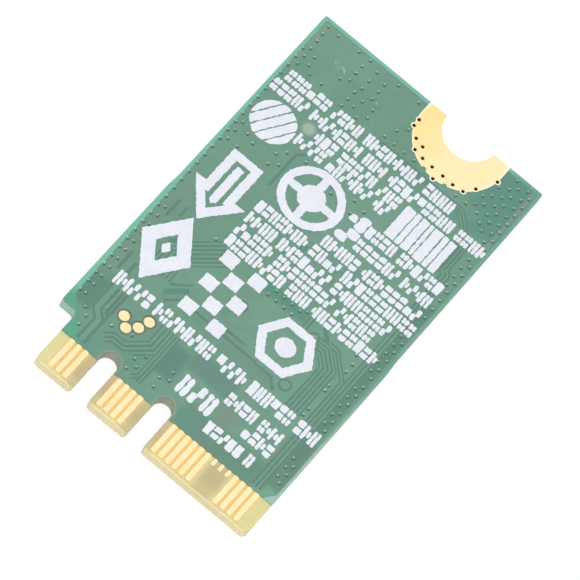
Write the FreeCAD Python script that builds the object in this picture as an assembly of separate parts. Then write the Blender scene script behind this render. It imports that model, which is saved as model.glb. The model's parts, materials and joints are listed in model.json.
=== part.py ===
import FreeCAD, Part
import math
import os

# A narrow wireless plug-in card for a laptop, lying on its shield lid with the printed side up.
# Plan sizes run from the board's left edge (x) and from the tongue's end (y), as seen from the
# printed side. The frame has +X to the right, +Y towards the mounting half hole and +Z up, with
# its origin under the middle of the board. Everything is in millimetres.

# Board outline
BOARD_WIDTH = 16.4
BOARD_LENGTH = 30.0
LAMINATE_THICKNESS = 0.74
BOARD_CORNER_RADIUS = 0.15
ROUTING_STEP = 0.07
ROUTING_STEP_UPPER = 15.2
ROUTING_STEP_LOWER = 14.3
ROUTING_STEP_RADIUS = 1.5
TONGUE_LEFT = 1.08
TONGUE_LENGTH = 4.0
SHOULDER_RADIUS = 0.3
TONGUE_CORNER_RADIUS = 0.35
BEVEL_RUN = 0.08
BEVEL_DROP = 0.06
NOTCH_WIDTH = 1.2
NOTCH_DEPTH = 3.5
NOTCH_MOUTH_RADIUS = 0.3
FIRST_NOTCH_CENTRE = 4.32
SECOND_NOTCH_CENTRE = 8.32

# Edge contacts: even numbers on the printed side and odd numbers on the component side
SECOND_CONTACT_X = 1.97
CONTACT_PITCH = 0.5
CONTACT_WIDTH = 0.37
CONTACT_EDGE_MARGIN = 0.45
CONTACT_START = 0.2
CONTACT_END_RADIUS = 0.12
CONTACT_THICKNESS = 0.035
STUB_WIDTH = 0.22
STUB_LENGTH = 0.5
STUB_END_RADIUS = 0.08
STUB_NUMBERS = range(44, 50, 2)
PRINTED_CONTACTS = {"left": range(2, 8, 2), "middle": range(16, 24, 2),
                    "right": [n for n in range(32, 58, 2) if n not in STUB_NUMBERS]}
COMPONENT_CONTACTS = {"left": range(1, 9, 2), "middle": range(17, 25, 2), "right": range(33, 59, 2)}

# Solder mask
MASK_THICKNESS = 0.045
MASK_START = 2.45

# Mounting half hole, its gold pad, and the plated vias round it, each as its angle about the
# pad's centre and its step out from the pad's rim
HOLE_OFFSET = 2.73
HOLE_RADIUS = 1.75
PAD_RADIUS = 3.02
PAD_CENTRE_DROP = 0.95
PAD_THICKNESS = 0.035
VIA_DRILL_RADIUS = 0.125
VIA_PLATING = 0.03
VIA_LAND_RADIUS = 0.2
TENTED_VIA_RADIUS = 0.17
OPEN_VIAS = [(190, -0.15), (200, -0.02), (216, -0.27), (228, -0.61), (231, -0.10), (244, -0.35),
             (260, -0.55), (271, 0.01), (279, -0.54), (295, -0.29), (308, 0.0), (324, -0.15), (353, 0.0)]
RIM_TENTED_VIAS = [(209, 0.24), (256, 0.0), (286, 0.03), (341, 0.20)]

# Round test pads
TEST_PAD_RADIUS = 0.32
TEST_PAD_CLEARANCE = 0.05
TEST_PADS = [(3.16, 5.76), (3.68, 5.22), (4.21, 5.75), (4.46, 6.48)]

# Shield: a soldered frame and a lid that clips over it
SHIELD_HEIGHT = 1.35
SHIELD_MARGIN_SIDE = 0.72
SHIELD_START = 4.95
SHIELD_PAD_GAP = 0.43
SHIELD_CORNER_RADIUS = 0.5
FRAME_WALL = 0.15
FRAME_RIM = 0.85
FRAME_BAR_WIDTH = 1.2
FRAME_PICKUP_RADIUS = 1.6
FOOT_GAP_WIDTH = 0.9
FOOT_GAP_HEIGHT = 0.2
FOOT_GAP_PITCH = 2.3
LID_THICKNESS = 0.12
LID_CLEARANCE = 0.02
LID_SKIRT = 0.75
LID_CORNER_RELIEF = 0.9
DIMPLE_RADIUS = 0.14
DIMPLE_TIP_RADIUS = 0.08
DIMPLE_HOLE_CLEARANCE = 0.05
DIMPLE_DEPTH = 0.05
DIMPLE_DROP = 0.45
DIMPLES_ON_LONG_SIDE = 4
DIMPLES_ON_SHORT_SIDE = 3
GROUND_LAND_WIDTH = 0.55
GROUND_LAND_THICKNESS = 0.035

# Parts under the shield: the wireless chip's place is from the shield's middle, and each other
# part's place is (region, x, y), from the middle of a region beside the chip or at the shield's end
RADIO_CHIP_OFFSET = (0.4, -0.87)
RADIO_CHIP_SIZE = 6.0
RADIO_CHIP_HEIGHT = 0.85
RADIO_CHIP_BEVEL = 0.12
RADIO_CHIP_LEADS_PER_SIDE = 12
LEAD_PITCH = 0.4
LEAD_WIDTH = 0.2
LEAD_LENGTH = 0.45
LEAD_TOE = 0.08
LEAD_THICKNESS = 0.05
THERMAL_PAD_SIZE = 4.2
MARK_RADIUS = 0.2
MARK_DEPTH = 0.04
CRYSTAL_PLACE = ("above_left", 0.3, 1.4)
CRYSTAL_SIZE = (2.5, 2.0)
CRYSTAL_BASE_HEIGHT = 0.38
CRYSTAL_LID_HEIGHT = 0.17
CRYSTAL_LID_INSET = 0.15
CRYSTAL_PAD_SIZE = (0.7, 0.6)
INDUCTOR_PLACE = ("below_right", 0.0, -1.5)
INDUCTOR_SIZE = (2.0, 1.6)
INDUCTOR_HEIGHT = 0.95
INDUCTOR_TERMINAL = 0.5
FILTER_PLACE = ("end_left", 0.4, -1.4)
FILTER_SIZE = (1.6, 0.8)
FILTER_HEIGHT = 0.6
FILTER_TERMINAL = 0.25
SWITCH_PLACE = ("end", -1.2, -1.7)
SWITCH_SIZE = 1.5
SWITCH_HEIGHT = 0.5
SWITCH_LEADS_PER_SIDE = 3

# Small end-capped parts: length, width, height and length of each end cap
CAP_SINK = 0.02
CAPACITOR = (1.0, 0.5, 0.5, 0.25)
RESISTOR = (1.0, 0.5, 0.33, 0.22)
MATCHING_PART = (0.6, 0.3, 0.3, 0.15)
CAPACITORS_ALONG_X = [("right", 0.0, -2.4), ("right", 0.0, -1.5), ("below_right", 0.0, -3.0),
                      ("left", 0.3, 2.5), ("above_left", 0.3, 2.95), ("end", 1.8, -1.5), ("end", 1.8, -2.7)]
CAPACITORS_ALONG_Y = [("below", -2.0, -1.3), ("below", -0.9, -1.3), ("below", 0.2, -1.3),
                      ("below", 1.3, -1.3), ("above", -2.0, 1.3), ("above", -0.9, 1.3), ("above", 2.0, 1.3),
                      ("above", 3.1, 1.3), ("left", -1.2, -1.8), ("left", -1.2, 0.2)]
RESISTORS_ALONG_X = [("right", 0.0, 0.8), ("right", 0.0, 1.7), ("right", 0.0, 2.6), ("below_left", 0.8, -2.3)]
RESISTORS_ALONG_Y = [("above_right", 0.0, 3.1), ("above_right", -0.9, 3.1), ("left", 0.8, -2.2),
                     ("left", -0.1, -2.2)]
MATCHING_PART_STEP = 0.5
MATCHING_PART_GAP = 0.95

# Antenna sockets, one near the board's left edge and one beside the mounting pad
SOCKET_EDGE_DISTANCE = 2.1
SOCKET_PAD_DISTANCE = 1.51
SOCKET_END_DISTANCE = 1.8
SOCKET_BASE_SIZE = 2.0
SOCKET_BASE_HEIGHT = 0.22
SOCKET_BASE_CORNER = 0.3
SOCKET_RING_RADIUS = 0.75
SOCKET_RING_WALL = 0.09
SOCKET_RING_LIP = 0.05
SOCKET_RING_LIP_HEIGHT = 0.12
SOCKET_HEIGHT = 0.6
SOCKET_PIN_RADIUS = 0.14
SOCKET_PIN_HEIGHT = 0.5
SOCKET_TAB = (0.22, 0.7)
SOCKET_TAB_THICKNESS = 0.1
SOCKET_STRIP_WIDTH = 0.24
SOCKET_STRIP_CLEARANCE = 0.08

# White legend ink on the printed side: its places are on a drawing, which is fitted to the free
# area between the tongue and the mounting pad; a row's pattern has an x for a block and a space
# for a gap
DRAWING_WIDTH = 16.4
DRAWING_START = 3.2
DRAWING_END = 25.7
PRINT_START = 3.2
PRINT_PAD_GAP = 0.33
INK_THICKNESS = 0.02
CELL_PITCH = 0.53
CELL_WIDTH = 0.4
CELL_HEIGHT = 0.84
WORD_GAP = 0.27
UPPER_ROWS = [(0.70, 24.78, "xxxxxx xxxx xxxxxxxx xxxx"), (0.36, 23.72, "xxxxx xxxxxxx xxx xxxxxxxxx xxxx"),
              (4.30, 22.70, "xxx xxxxx xxx"), (3.55, 21.80, "xxxx xxxxxx xx")]
MIDDLE_ROWS = [(10.20, 20.00, "xxxx xxxxxx"), (10.20, 18.86, "xxxxxx xxxx"), (8.65, 17.68, "xxxxx xxxxxxxx"),
               (4.50, 16.66, "xxxxxxx xxxx xxxxxxxxxx"), (4.50, 15.62, "xxxx xxxxxxx xxxxxxxx"),
               (4.50, 14.62, "xxxxx xxxxxxxx xxxxx"), (4.50, 13.62, "xxxxxxxx xxx xxxxxxxxx")]
LOWER_ROW = (1.30, 6.98, "xxxxx xxxxxxxx xxxx xxxxxx xxx")
LOWER_CELL_HEIGHT = 0.98
DATE_ROWS = [(10.60, 5.58, "xxxx xxx"), (12.55, 4.56, "xxxx"), (10.75, 3.28, "xxxxx x")]
LARGE_CELLS = [(8.05, 4.16), (8.95, 4.16), (9.80, 4.16)]
LARGE_CELL_SIZE = (0.62, 1.3)
TICK_BOXES = [(8.92, 19.95), (8.92, 18.76)]
TICK_BOX_SIZE = 1.08
TICK_BOX_HOLE = 0.26
STRIPED_DISC_CENTRE = (1.95, 22.0)
STRIPED_DISC_RADIUS = 1.42
STRIPE_GAP = 0.14
STRIPE_SPACING = 0.62
STRIPE_COUNT = 4
STRIPE_ANGLE = 60.0
BAR_BLOCK_CORNER = (10.98, 21.02)
BAR_BLOCK_HEIGHT = 2.48
BAR_WIDTHS = [0.62, 0.3, 0.46, 0.2, 0.56, 0.3, 0.42]
BAR_GAP = 0.13
TARGET_CENTRE = (6.55, 19.68)
TARGET_RADIUS = 2.06
TARGET_STROKE = 0.46
TARGET_HUB_RADIUS = 0.85
ARROW_CENTRE_X = 2.42
ARROW_START = 13.75
ARROW_END = 18.95
ARROW_HEAD_LENGTH = 2.35
ARROW_HEAD_WIDTH = 3.55
ARROW_SHAFT_WIDTH = 2.1
ARROW_STROKE = 0.5
ARROW_CORE_GAP = 0.32
DIAMOND_CENTRE = (2.3, 10.95)
DIAMOND_SIZE = (3.5, 5.3)
DIAMOND_STROKE = 0.8
DIAMOND_CORE = 0.34
CHECKER_CORNER = (4.95, 8.4)
CHECKER_CELL = 1.02
CHECKER_COLUMNS = 3
CHECKER_ROWS = 5
CHECKER_GAP = 0.05
HEXAGON_CENTRE = (11.15, 10.9)
HEXAGON_RADIUS = 1.95
HEXAGON_STROKE = 0.5
HEXAGON_HUB_RADIUS = 0.62

# Heights that follow from the stack of lid, ground land and board
COMPONENT_FACE = SHIELD_HEIGHT + GROUND_LAND_THICKNESS
PRINTED_FACE = COMPONENT_FACE + LAMINATE_THICKNESS
PRINTED_MASK_FACE = PRINTED_FACE + MASK_THICKNESS
COMPONENT_SEAT = COMPONENT_FACE - MASK_THICKNESS
SHIELD_LEFT = SHIELD_MARGIN_SIDE
SHIELD_RIGHT = BOARD_WIDTH - SHIELD_MARGIN_SIDE
FRAME_HEIGHT = SHIELD_HEIGHT - LID_THICKNESS

# Places that follow from the board, the pad, the shield and the chip
HOLE_X = BOARD_WIDTH / 2 + HOLE_OFFSET
PAD_CENTRE_Y = BOARD_LENGTH - PAD_CENTRE_DROP
SHIELD_END = PAD_CENTRE_Y - PAD_RADIUS - SHIELD_PAD_GAP
SHIELD_MIDDLE = ((SHIELD_LEFT + SHIELD_RIGHT) / 2, (SHIELD_START + SHIELD_END) / 2)
CHIP_X = SHIELD_MIDDLE[0] + RADIO_CHIP_OFFSET[0]
CHIP_Y = SHIELD_MIDDLE[1] + RADIO_CHIP_OFFSET[1]
CHIP_REACH = RADIO_CHIP_SIZE / 2 + LEAD_TOE
LEFT_COLUMN = (SHIELD_LEFT + FRAME_WALL + CHIP_X - CHIP_REACH) / 2
RIGHT_COLUMN = (SHIELD_RIGHT - FRAME_WALL + CHIP_X + CHIP_REACH) / 2
REGIONS = {"left": (LEFT_COLUMN, CHIP_Y), "right": (RIGHT_COLUMN, CHIP_Y),
           "above": (CHIP_X, CHIP_Y + CHIP_REACH), "above_left": (LEFT_COLUMN, CHIP_Y + CHIP_REACH),
           "above_right": (RIGHT_COLUMN, CHIP_Y + CHIP_REACH), "below": (CHIP_X, CHIP_Y - CHIP_REACH),
           "below_left": (LEFT_COLUMN, CHIP_Y - CHIP_REACH),
           "below_right": (RIGHT_COLUMN, CHIP_Y - CHIP_REACH),
           "end": (CHIP_X, SHIELD_END - FRAME_WALL), "end_left": (LEFT_COLUMN, SHIELD_END - FRAME_WALL)}
SOCKET_Y = BOARD_LENGTH - SOCKET_END_DISTANCE
SOCKET_CENTRES = [(SOCKET_EDGE_DISTANCE, SOCKET_Y), (HOLE_X - PAD_RADIUS - SOCKET_PAD_DISTANCE, SOCKET_Y)]
PRINT_END = PAD_CENTRE_Y - PAD_RADIUS - PRINT_PAD_GAP
PRINT_SCALE = min(BOARD_WIDTH / DRAWING_WIDTH, (PRINT_END - PRINT_START) / (DRAWING_END - DRAWING_START))
SHORTEST_EDGE = 1e-6
OVERCUT = 1.0


def at(x, y, z=0.0):
    """The point of the frame at plan place (x, y) and height z."""
    return FreeCAD.Vector(x - BOARD_WIDTH / 2, y - BOARD_LENGTH / 2, z)


def save(name, shape):
    """Write one named piece, or one group of like pieces, to its own STEP file."""
    shape.exportStep(f"parts/{name}.step")


def rounded_face(corners):
    """A flat face at z = 0 through corners (x, y, radius), each rounded by its own radius."""
    entries, exits, arcs = [], [], []
    for i, (x, y, radius) in enumerate(corners):
        corner = at(x, y)
        back = (at(*corners[i - 1][:2]) - corner).normalize()
        ahead = (at(*corners[(i + 1) % len(corners)][:2]) - corner).normalize()
        half_angle = back.getAngle(ahead) / 2
        entries.append(corner + back * (radius / math.tan(half_angle)))
        exits.append(corner + ahead * (radius / math.tan(half_angle)))
        inward = (back + ahead).normalize()
        arcs.append(corner + inward * (radius / math.sin(half_angle) - radius))
    edges = []
    for i, (entry, middle, leaving) in enumerate(zip(entries, arcs, exits)):
        if entry.distanceToPoint(exits[i - 1]) > SHORTEST_EDGE:
            edges.append(Part.LineSegment(exits[i - 1], entry).toShape())
        if corners[i][2] > 0:
            edges.append(Part.Arc(entry, middle, leaving).toShape())
    return Part.Face(Part.Wire(edges))


def rectangle(x0, y0, x1, y1, radius=0.0):
    """A flat rectangle with corners of one radius."""
    return rounded_face([(x0, y0, radius), (x1, y0, radius), (x1, y1, radius), (x0, y1, radius)])


def disc(x, y, radius):
    """A flat round face."""
    return Part.Face(Part.Wire(Part.makeCircle(radius, at(x, y))))


def plate(face, bottom, thickness):
    """The solid that stands on a flat face, from height bottom up."""
    solid = face.extrude(FreeCAD.Vector(0, 0, thickness))
    solid.translate(FreeCAD.Vector(0, 0, bottom))
    return solid


def hung(face, seat, thickness):
    """The solid that hangs from height seat down, as the parts on the component side do."""
    return plate(face, seat - thickness, thickness)


def merged(solids):
    """One solid from solids that touch or cross."""
    return solids[0].multiFuse(solids[1:]).removeSplitter()


def group(solids):
    """Separate solids kept together in one node."""
    return Part.makeCompound(solids)


def contact_x(number):
    """The plan x of an edge contact: each number is half a pitch further along."""
    return SECOND_CONTACT_X + (number - 2) * CONTACT_PITCH / 2


def board_outline():
    """The board's outline: two routed notches in the tongue, and a shoulder on the left only."""
    lower_left = -ROUTING_STEP
    lower_right = BOARD_WIDTH + ROUTING_STEP
    corners = [(TONGUE_LEFT, 0.0, TONGUE_CORNER_RADIUS)]
    for centre in (FIRST_NOTCH_CENTRE, SECOND_NOTCH_CENTRE):
        left, right = centre - NOTCH_WIDTH / 2, centre + NOTCH_WIDTH / 2
        corners += [(left, 0.0, NOTCH_MOUTH_RADIUS), (left, NOTCH_DEPTH, NOTCH_WIDTH / 2),
                    (right, NOTCH_DEPTH, NOTCH_WIDTH / 2), (right, 0.0, NOTCH_MOUTH_RADIUS)]
    corners += [(lower_right, 0.0, TONGUE_CORNER_RADIUS),
                (lower_right, ROUTING_STEP_LOWER, ROUTING_STEP_RADIUS),
                (BOARD_WIDTH, ROUTING_STEP_UPPER, ROUTING_STEP_RADIUS),
                (BOARD_WIDTH, BOARD_LENGTH, BOARD_CORNER_RADIUS),
                (0.0, BOARD_LENGTH, BOARD_CORNER_RADIUS),
                (0.0, ROUTING_STEP_UPPER, ROUTING_STEP_RADIUS),
                (lower_left, ROUTING_STEP_LOWER, ROUTING_STEP_RADIUS),
                (lower_left, TONGUE_LENGTH, BOARD_CORNER_RADIUS),
                (TONGUE_LEFT, TONGUE_LENGTH, SHOULDER_RADIUS)]
    return rounded_face(corners)


def rim_places(vias):
    """Plan places of vias from their angles and their steps out from the pad's rim."""
    places = []
    for angle, step in vias:
        turn = math.radians(angle)
        places.append((HOLE_X + (PAD_RADIUS + step) * math.cos(turn),
                       PAD_CENTRE_Y + (PAD_RADIUS + step) * math.sin(turn)))
    return places


def half_hole(bottom, thickness):
    """The round cutter of the mounting half hole."""
    return plate(disc(HOLE_X, BOARD_LENGTH, HOLE_RADIUS), bottom, thickness)


def tongue_bevels():
    """Two wedges that bevel the tongue's end on both faces."""
    wedges = []
    for face, turn in ((COMPONENT_FACE, 1.0), (PRINTED_FACE, -1.0)):
        slope = BEVEL_DROP / BEVEL_RUN
        profile = [at(-OVERCUT, BEVEL_RUN, face),
                   at(-OVERCUT, -OVERCUT, face + turn * slope * (BEVEL_RUN + OVERCUT)),
                   at(-OVERCUT, -OVERCUT, face)]
        wire = Part.makePolygon(profile + profile[:1])
        wedges.append(Part.Face(wire).extrude(FreeCAD.Vector(BOARD_WIDTH + 2 * OVERCUT, 0, 0)))
    return wedges


def board_laminate():
    """The glass-epoxy board with its half hole, drilled vias and bevelled tongue."""
    board = plate(board_outline(), COMPONENT_FACE, LAMINATE_THICKNESS)
    drills = [plate(disc(x, y, VIA_DRILL_RADIUS), COMPONENT_FACE, LAMINATE_THICKNESS)
              for x, y in rim_places(OPEN_VIAS)]
    return board.cut([half_hole(COMPONENT_FACE, LAMINATE_THICKNESS)] + drills + tongue_bevels())


def pad_body(radius, bottom, thickness):
    """A round pad that runs straight up to the board's end, before its half hole is cut."""
    circle = plate(disc(HOLE_X, PAD_CENTRE_Y, radius), bottom, thickness)
    neck = plate(rectangle(HOLE_X - radius, PAD_CENTRE_Y, HOLE_X + radius, BOARD_LENGTH), bottom, thickness)
    beyond = plate(rectangle(HOLE_X - radius - OVERCUT, BOARD_LENGTH, HOLE_X + radius + OVERCUT,
                             BOARD_LENGTH + radius + OVERCUT), bottom, thickness)
    return merged([circle, neck]).cut(beyond)


def scalloped_pad(bottom, thickness):
    """The pad whose rim swells round each bared via and is bitten by each covered one."""
    swells = [plate(disc(x, y, VIA_LAND_RADIUS), bottom, thickness) for x, y in rim_places(OPEN_VIAS)]
    bites = [plate(disc(x, y, TENTED_VIA_RADIUS), bottom, thickness) for x, y in rim_places(RIM_TENTED_VIAS)]
    return merged([pad_body(PAD_RADIUS, bottom, thickness)] + swells).cut(bites)


def finished_pad(body, bottom, thickness):
    """A pad with its half hole and via holes cut."""
    drills = [plate(disc(x, y, VIA_DRILL_RADIUS), bottom, thickness) for x, y in rim_places(OPEN_VIAS)]
    return body.cut([half_hole(bottom, thickness)] + drills)


def via_barrels():
    """The plated walls of the vias round the half hole, from face to face."""
    barrels = []
    for x, y in rim_places(OPEN_VIAS):
        outer = plate(disc(x, y, VIA_DRILL_RADIUS), COMPONENT_FACE, LAMINATE_THICKNESS)
        bore = plate(disc(x, y, VIA_DRILL_RADIUS - VIA_PLATING), COMPONENT_FACE, LAMINATE_THICKNESS)
        barrels.append(outer.cut(bore))
    return group(barrels)


def masked_area(bottom):
    """The board's outline above the contacts, as a sheet of solder mask with the half hole cut."""
    sheet = plate(board_outline(), bottom, MASK_THICKNESS)
    bare = plate(rectangle(-OVERCUT, -OVERCUT, BOARD_WIDTH + OVERCUT, MASK_START), bottom, MASK_THICKNESS)
    return sheet.cut([bare, half_hole(bottom, MASK_THICKNESS)])


def solder_mask_printed_side():
    """The mask over the printed side, open at the mounting pad and the test pads."""
    windows = [plate(disc(x, y, TEST_PAD_RADIUS + TEST_PAD_CLEARANCE), PRINTED_FACE, MASK_THICKNESS)
               for x, y in TEST_PADS]
    return masked_area(PRINTED_FACE).cut([scalloped_pad(PRINTED_FACE, MASK_THICKNESS)] + windows)


def component_pad_body(thickness):
    """The plain-rimmed pad of the component side."""
    return pad_body(PAD_RADIUS, COMPONENT_FACE - thickness, thickness)


def component_mask_opening():
    """The opening for the component side's pad, with room for the vias that reach past its rim."""
    bottom = COMPONENT_SEAT
    lands = [plate(disc(x, y, VIA_LAND_RADIUS), bottom, MASK_THICKNESS) for x, y in rim_places(OPEN_VIAS)]
    return merged([component_pad_body(MASK_THICKNESS)] + lands)


def solder_mask_component_side():
    """The mask over the component side, open at the mounting pad and the shield's ground land."""
    land = ground_land_ring(MASK_THICKNESS)
    return masked_area(COMPONENT_SEAT).cut([component_mask_opening(), land])


def mounting_pad_component_side():
    """The component side's pad, joined to the lands of the vias past its rim."""
    bottom = COMPONENT_FACE - PAD_THICKNESS
    lands = [plate(disc(x, y, VIA_LAND_RADIUS), bottom, PAD_THICKNESS) for x, y in rim_places(OPEN_VIAS)]
    return finished_pad(merged([component_pad_body(PAD_THICKNESS)] + lands), bottom, PAD_THICKNESS)


def contact_bars(numbers, bottom, width, start, radius):
    """A contact for each number that has room on the tongue, each a bar from start up to the mask."""
    bars = []
    for number in numbers:
        middle = contact_x(number)
        if middle + width / 2 <= BOARD_WIDTH - CONTACT_EDGE_MARGIN:
            face = rectangle(middle - width / 2, start, middle + width / 2, MASK_START, radius)
            bars.append(plate(face, bottom, CONTACT_THICKNESS))
    return group(bars)


def test_pads():
    """The round bare pads on the printed side."""
    return group([plate(disc(x, y, TEST_PAD_RADIUS), PRINTED_FACE, PAD_THICKNESS) for x, y in TEST_PADS])


def shield_rectangle(inset):
    """The shield's plan, stepped in from the frame's outer face by inset."""
    return rectangle(SHIELD_LEFT + inset, SHIELD_START + inset, SHIELD_RIGHT - inset, SHIELD_END - inset,
                     max(SHIELD_CORNER_RADIUS - inset, FRAME_WALL))


def ground_land_ring(thickness):
    """The copper ring under the frame's wall, or the mask opening over it."""
    spread = (GROUND_LAND_WIDTH - FRAME_WALL) / 2
    outer = hung(shield_rectangle(-spread), COMPONENT_FACE, thickness)
    inner = hung(shield_rectangle(FRAME_WALL + spread), COMPONENT_FACE, thickness)
    return outer.cut(inner)


def spread_places(start, end, count):
    """Even places between start and end, half a step in from each."""
    step = (end - start) / count
    return [start + step * (i + 0.5) for i in range(count)]


def wall_places(places_x, places_y):
    """Each place on the frame's four walls, with the wall's outward direction."""
    for x in places_x:
        yield x, SHIELD_START, FreeCAD.Vector(0, -1, 0)
        yield x, SHIELD_END, FreeCAD.Vector(0, 1, 0)
    for y in places_y:
        yield SHIELD_LEFT, y, FreeCAD.Vector(-1, 0, 0)
        yield SHIELD_RIGHT, y, FreeCAD.Vector(1, 0, 0)


def foot_gaps():
    """Boxes that part the wall's foot into short soldered feet."""
    reach = 2 * FRAME_WALL
    places_x = spread_places(SHIELD_LEFT, SHIELD_RIGHT, int((SHIELD_RIGHT - SHIELD_LEFT) / FOOT_GAP_PITCH))
    places_y = spread_places(SHIELD_START, SHIELD_END, int((SHIELD_END - SHIELD_START) / FOOT_GAP_PITCH))
    gaps = []
    for x, y, outward in wall_places(places_x, places_y):
        half_x, half_y = (reach, FOOT_GAP_WIDTH / 2) if outward.x else (FOOT_GAP_WIDTH / 2, reach)
        gaps.append(hung(rectangle(x - half_x, y - half_y, x + half_x, y + half_y),
                         SHIELD_HEIGHT, FOOT_GAP_HEIGHT))
    return gaps


def dimple_holes():
    """Round holes in the frame's walls that take the lid's dimples."""
    reach = 2 * FRAME_WALL
    return [Part.makeCylinder(DIMPLE_RADIUS + DIMPLE_HOLE_CLEARANCE, 2 * reach,
                              at(x, y, DIMPLE_DROP) - outward * reach, outward)
            for x, y, outward in wall_places(*dimple_places())]


def dimple_places():
    """Where the lid's dimples stand: plan x on the short walls and plan y on the long walls."""
    return (spread_places(SHIELD_LEFT, SHIELD_RIGHT, DIMPLES_ON_SHORT_SIDE),
            spread_places(SHIELD_START, SHIELD_END, DIMPLES_ON_LONG_SIDE))


def shield_frame():
    """The fence: thin walls on gapped feet, an inward rim, crossed bars and a round pick-up spot."""
    seat = SHIELD_HEIGHT
    wall = hung(shield_rectangle(0.0), seat, FRAME_HEIGHT).cut(
        hung(shield_rectangle(FRAME_WALL), seat, FRAME_HEIGHT))
    rim_seat = seat - FRAME_HEIGHT + FRAME_WALL
    rim = hung(shield_rectangle(0.0), rim_seat, FRAME_WALL).cut(
        hung(shield_rectangle(FRAME_WALL + FRAME_RIM), rim_seat, FRAME_WALL))
    middle_x, middle_y = SHIELD_MIDDLE
    half_bar = FRAME_BAR_WIDTH / 2
    bars = [hung(rectangle(middle_x - half_bar, SHIELD_START + FRAME_WALL, middle_x + half_bar,
                           SHIELD_END - FRAME_WALL), rim_seat, FRAME_WALL),
            hung(rectangle(SHIELD_LEFT + FRAME_WALL, middle_y - half_bar, SHIELD_RIGHT - FRAME_WALL,
                           middle_y + half_bar), rim_seat, FRAME_WALL)]
    pickup = hung(disc(middle_x, middle_y, FRAME_PICKUP_RADIUS), rim_seat, FRAME_WALL)
    return merged([wall, rim, pickup] + bars).cut(foot_gaps() + dimple_holes())


def shield_lid():
    """The cover: a flat plate with a skirt on each side, open corners and inward locking dimples."""
    outside = -(LID_CLEARANCE + LID_THICKNESS)
    shell = plate(shield_rectangle(outside), 0.0, LID_SKIRT).cut(
        plate(shield_rectangle(-LID_CLEARANCE), LID_THICKNESS, LID_SKIRT))
    reliefs = []
    for x in (SHIELD_LEFT, SHIELD_RIGHT):
        for y in (SHIELD_START, SHIELD_END):
            reliefs.append(plate(rectangle(x - LID_CORNER_RELIEF, y - LID_CORNER_RELIEF,
                                           x + LID_CORNER_RELIEF, y + LID_CORNER_RELIEF),
                                 LID_THICKNESS, LID_SKIRT))
    pits, bumps = [], []
    for x, y, outward in wall_places(*dimple_places()):
        start = at(x, y, DIMPLE_DROP) + outward * (LID_CLEARANCE + LID_THICKNESS / 2)
        pits.append(dimple(start, outward, LID_THICKNESS))
        bumps.append(dimple(start, outward * -1.0, LID_THICKNESS / 2 + DIMPLE_DEPTH))
    return merged([shell.cut(reliefs)] + bumps).cut(pits)


def dimple(start, direction, length):
    """A short tapered pin: a locking dimple's inside, or the pit behind it."""
    return Part.makeCone(DIMPLE_RADIUS, DIMPLE_TIP_RADIUS, length, start, direction)


def region_place(region, x, y):
    """The plan place of a part at (x, y) from the middle of a named region."""
    return REGIONS[region][0] + x, REGIONS[region][1] + y


def leaded_square(centre, size, leads_per_side):
    """The flat leads that show at the foot of a square, leadless chip."""
    cx, cy = centre
    leads = []
    inner, outer = size / 2 - LEAD_LENGTH + LEAD_TOE, size / 2 + LEAD_TOE
    for i in range(leads_per_side):
        offset = (i - (leads_per_side - 1) / 2) * LEAD_PITCH
        low, high = offset - LEAD_WIDTH / 2, offset + LEAD_WIDTH / 2
        for side in (-1.0, 1.0):
            near, far = sorted((side * inner, side * outer))
            leads.append(rectangle(cx + low, cy + near, cx + high, cy + far))
            leads.append(rectangle(cx + near, cy + low, cx + far, cy + high))
    return group([hung(face, COMPONENT_SEAT, LEAD_THICKNESS) for face in leads])


def moulded_body(centre, size, height):
    """A moulded chip body over its leads, bevelled round its far face, with a round first-pin mark."""
    cx, cy = centre
    half = size / 2
    seat = COMPONENT_SEAT - LEAD_THICKNESS
    body = hung(rectangle(cx - half, cy - half, cx + half, cy + half), seat, height - LEAD_THICKNESS)
    far_z = seat - (height - LEAD_THICKNESS)
    far_edges = [edge for edge in body.Edges if edge.BoundBox.ZMax < far_z + SHORTEST_EDGE]
    body = body.makeChamfer(RADIO_CHIP_BEVEL, far_edges)
    mark_x, mark_y = cx - half + size / 6, cy + half - size / 6
    mark = plate(disc(mark_x, mark_y, min(MARK_RADIUS, size / 8)), far_z, MARK_DEPTH)
    return body.cut(mark)


def radio_chip():
    """The wireless chip: moulded body, leads and the thermal pad under it."""
    centre = (CHIP_X, CHIP_Y)
    half = THERMAL_PAD_SIZE / 2
    save("radio_chip_body", moulded_body(centre, RADIO_CHIP_SIZE, RADIO_CHIP_HEIGHT))
    save("radio_chip_leads", leaded_square(centre, RADIO_CHIP_SIZE, RADIO_CHIP_LEADS_PER_SIDE))
    pad = rectangle(CHIP_X - half, CHIP_Y - half, CHIP_X + half, CHIP_Y + half, MARK_RADIUS)
    save("radio_chip_thermal_pad", hung(pad, COMPONENT_SEAT, LEAD_THICKNESS))


def antenna_switch():
    """The small chip that shares the two antenna sockets."""
    centre = region_place(*SWITCH_PLACE)
    save("antenna_switch_body", moulded_body(centre, SWITCH_SIZE, SWITCH_HEIGHT))
    save("antenna_switch_leads", leaded_square(centre, SWITCH_SIZE, SWITCH_LEADS_PER_SIDE))


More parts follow.
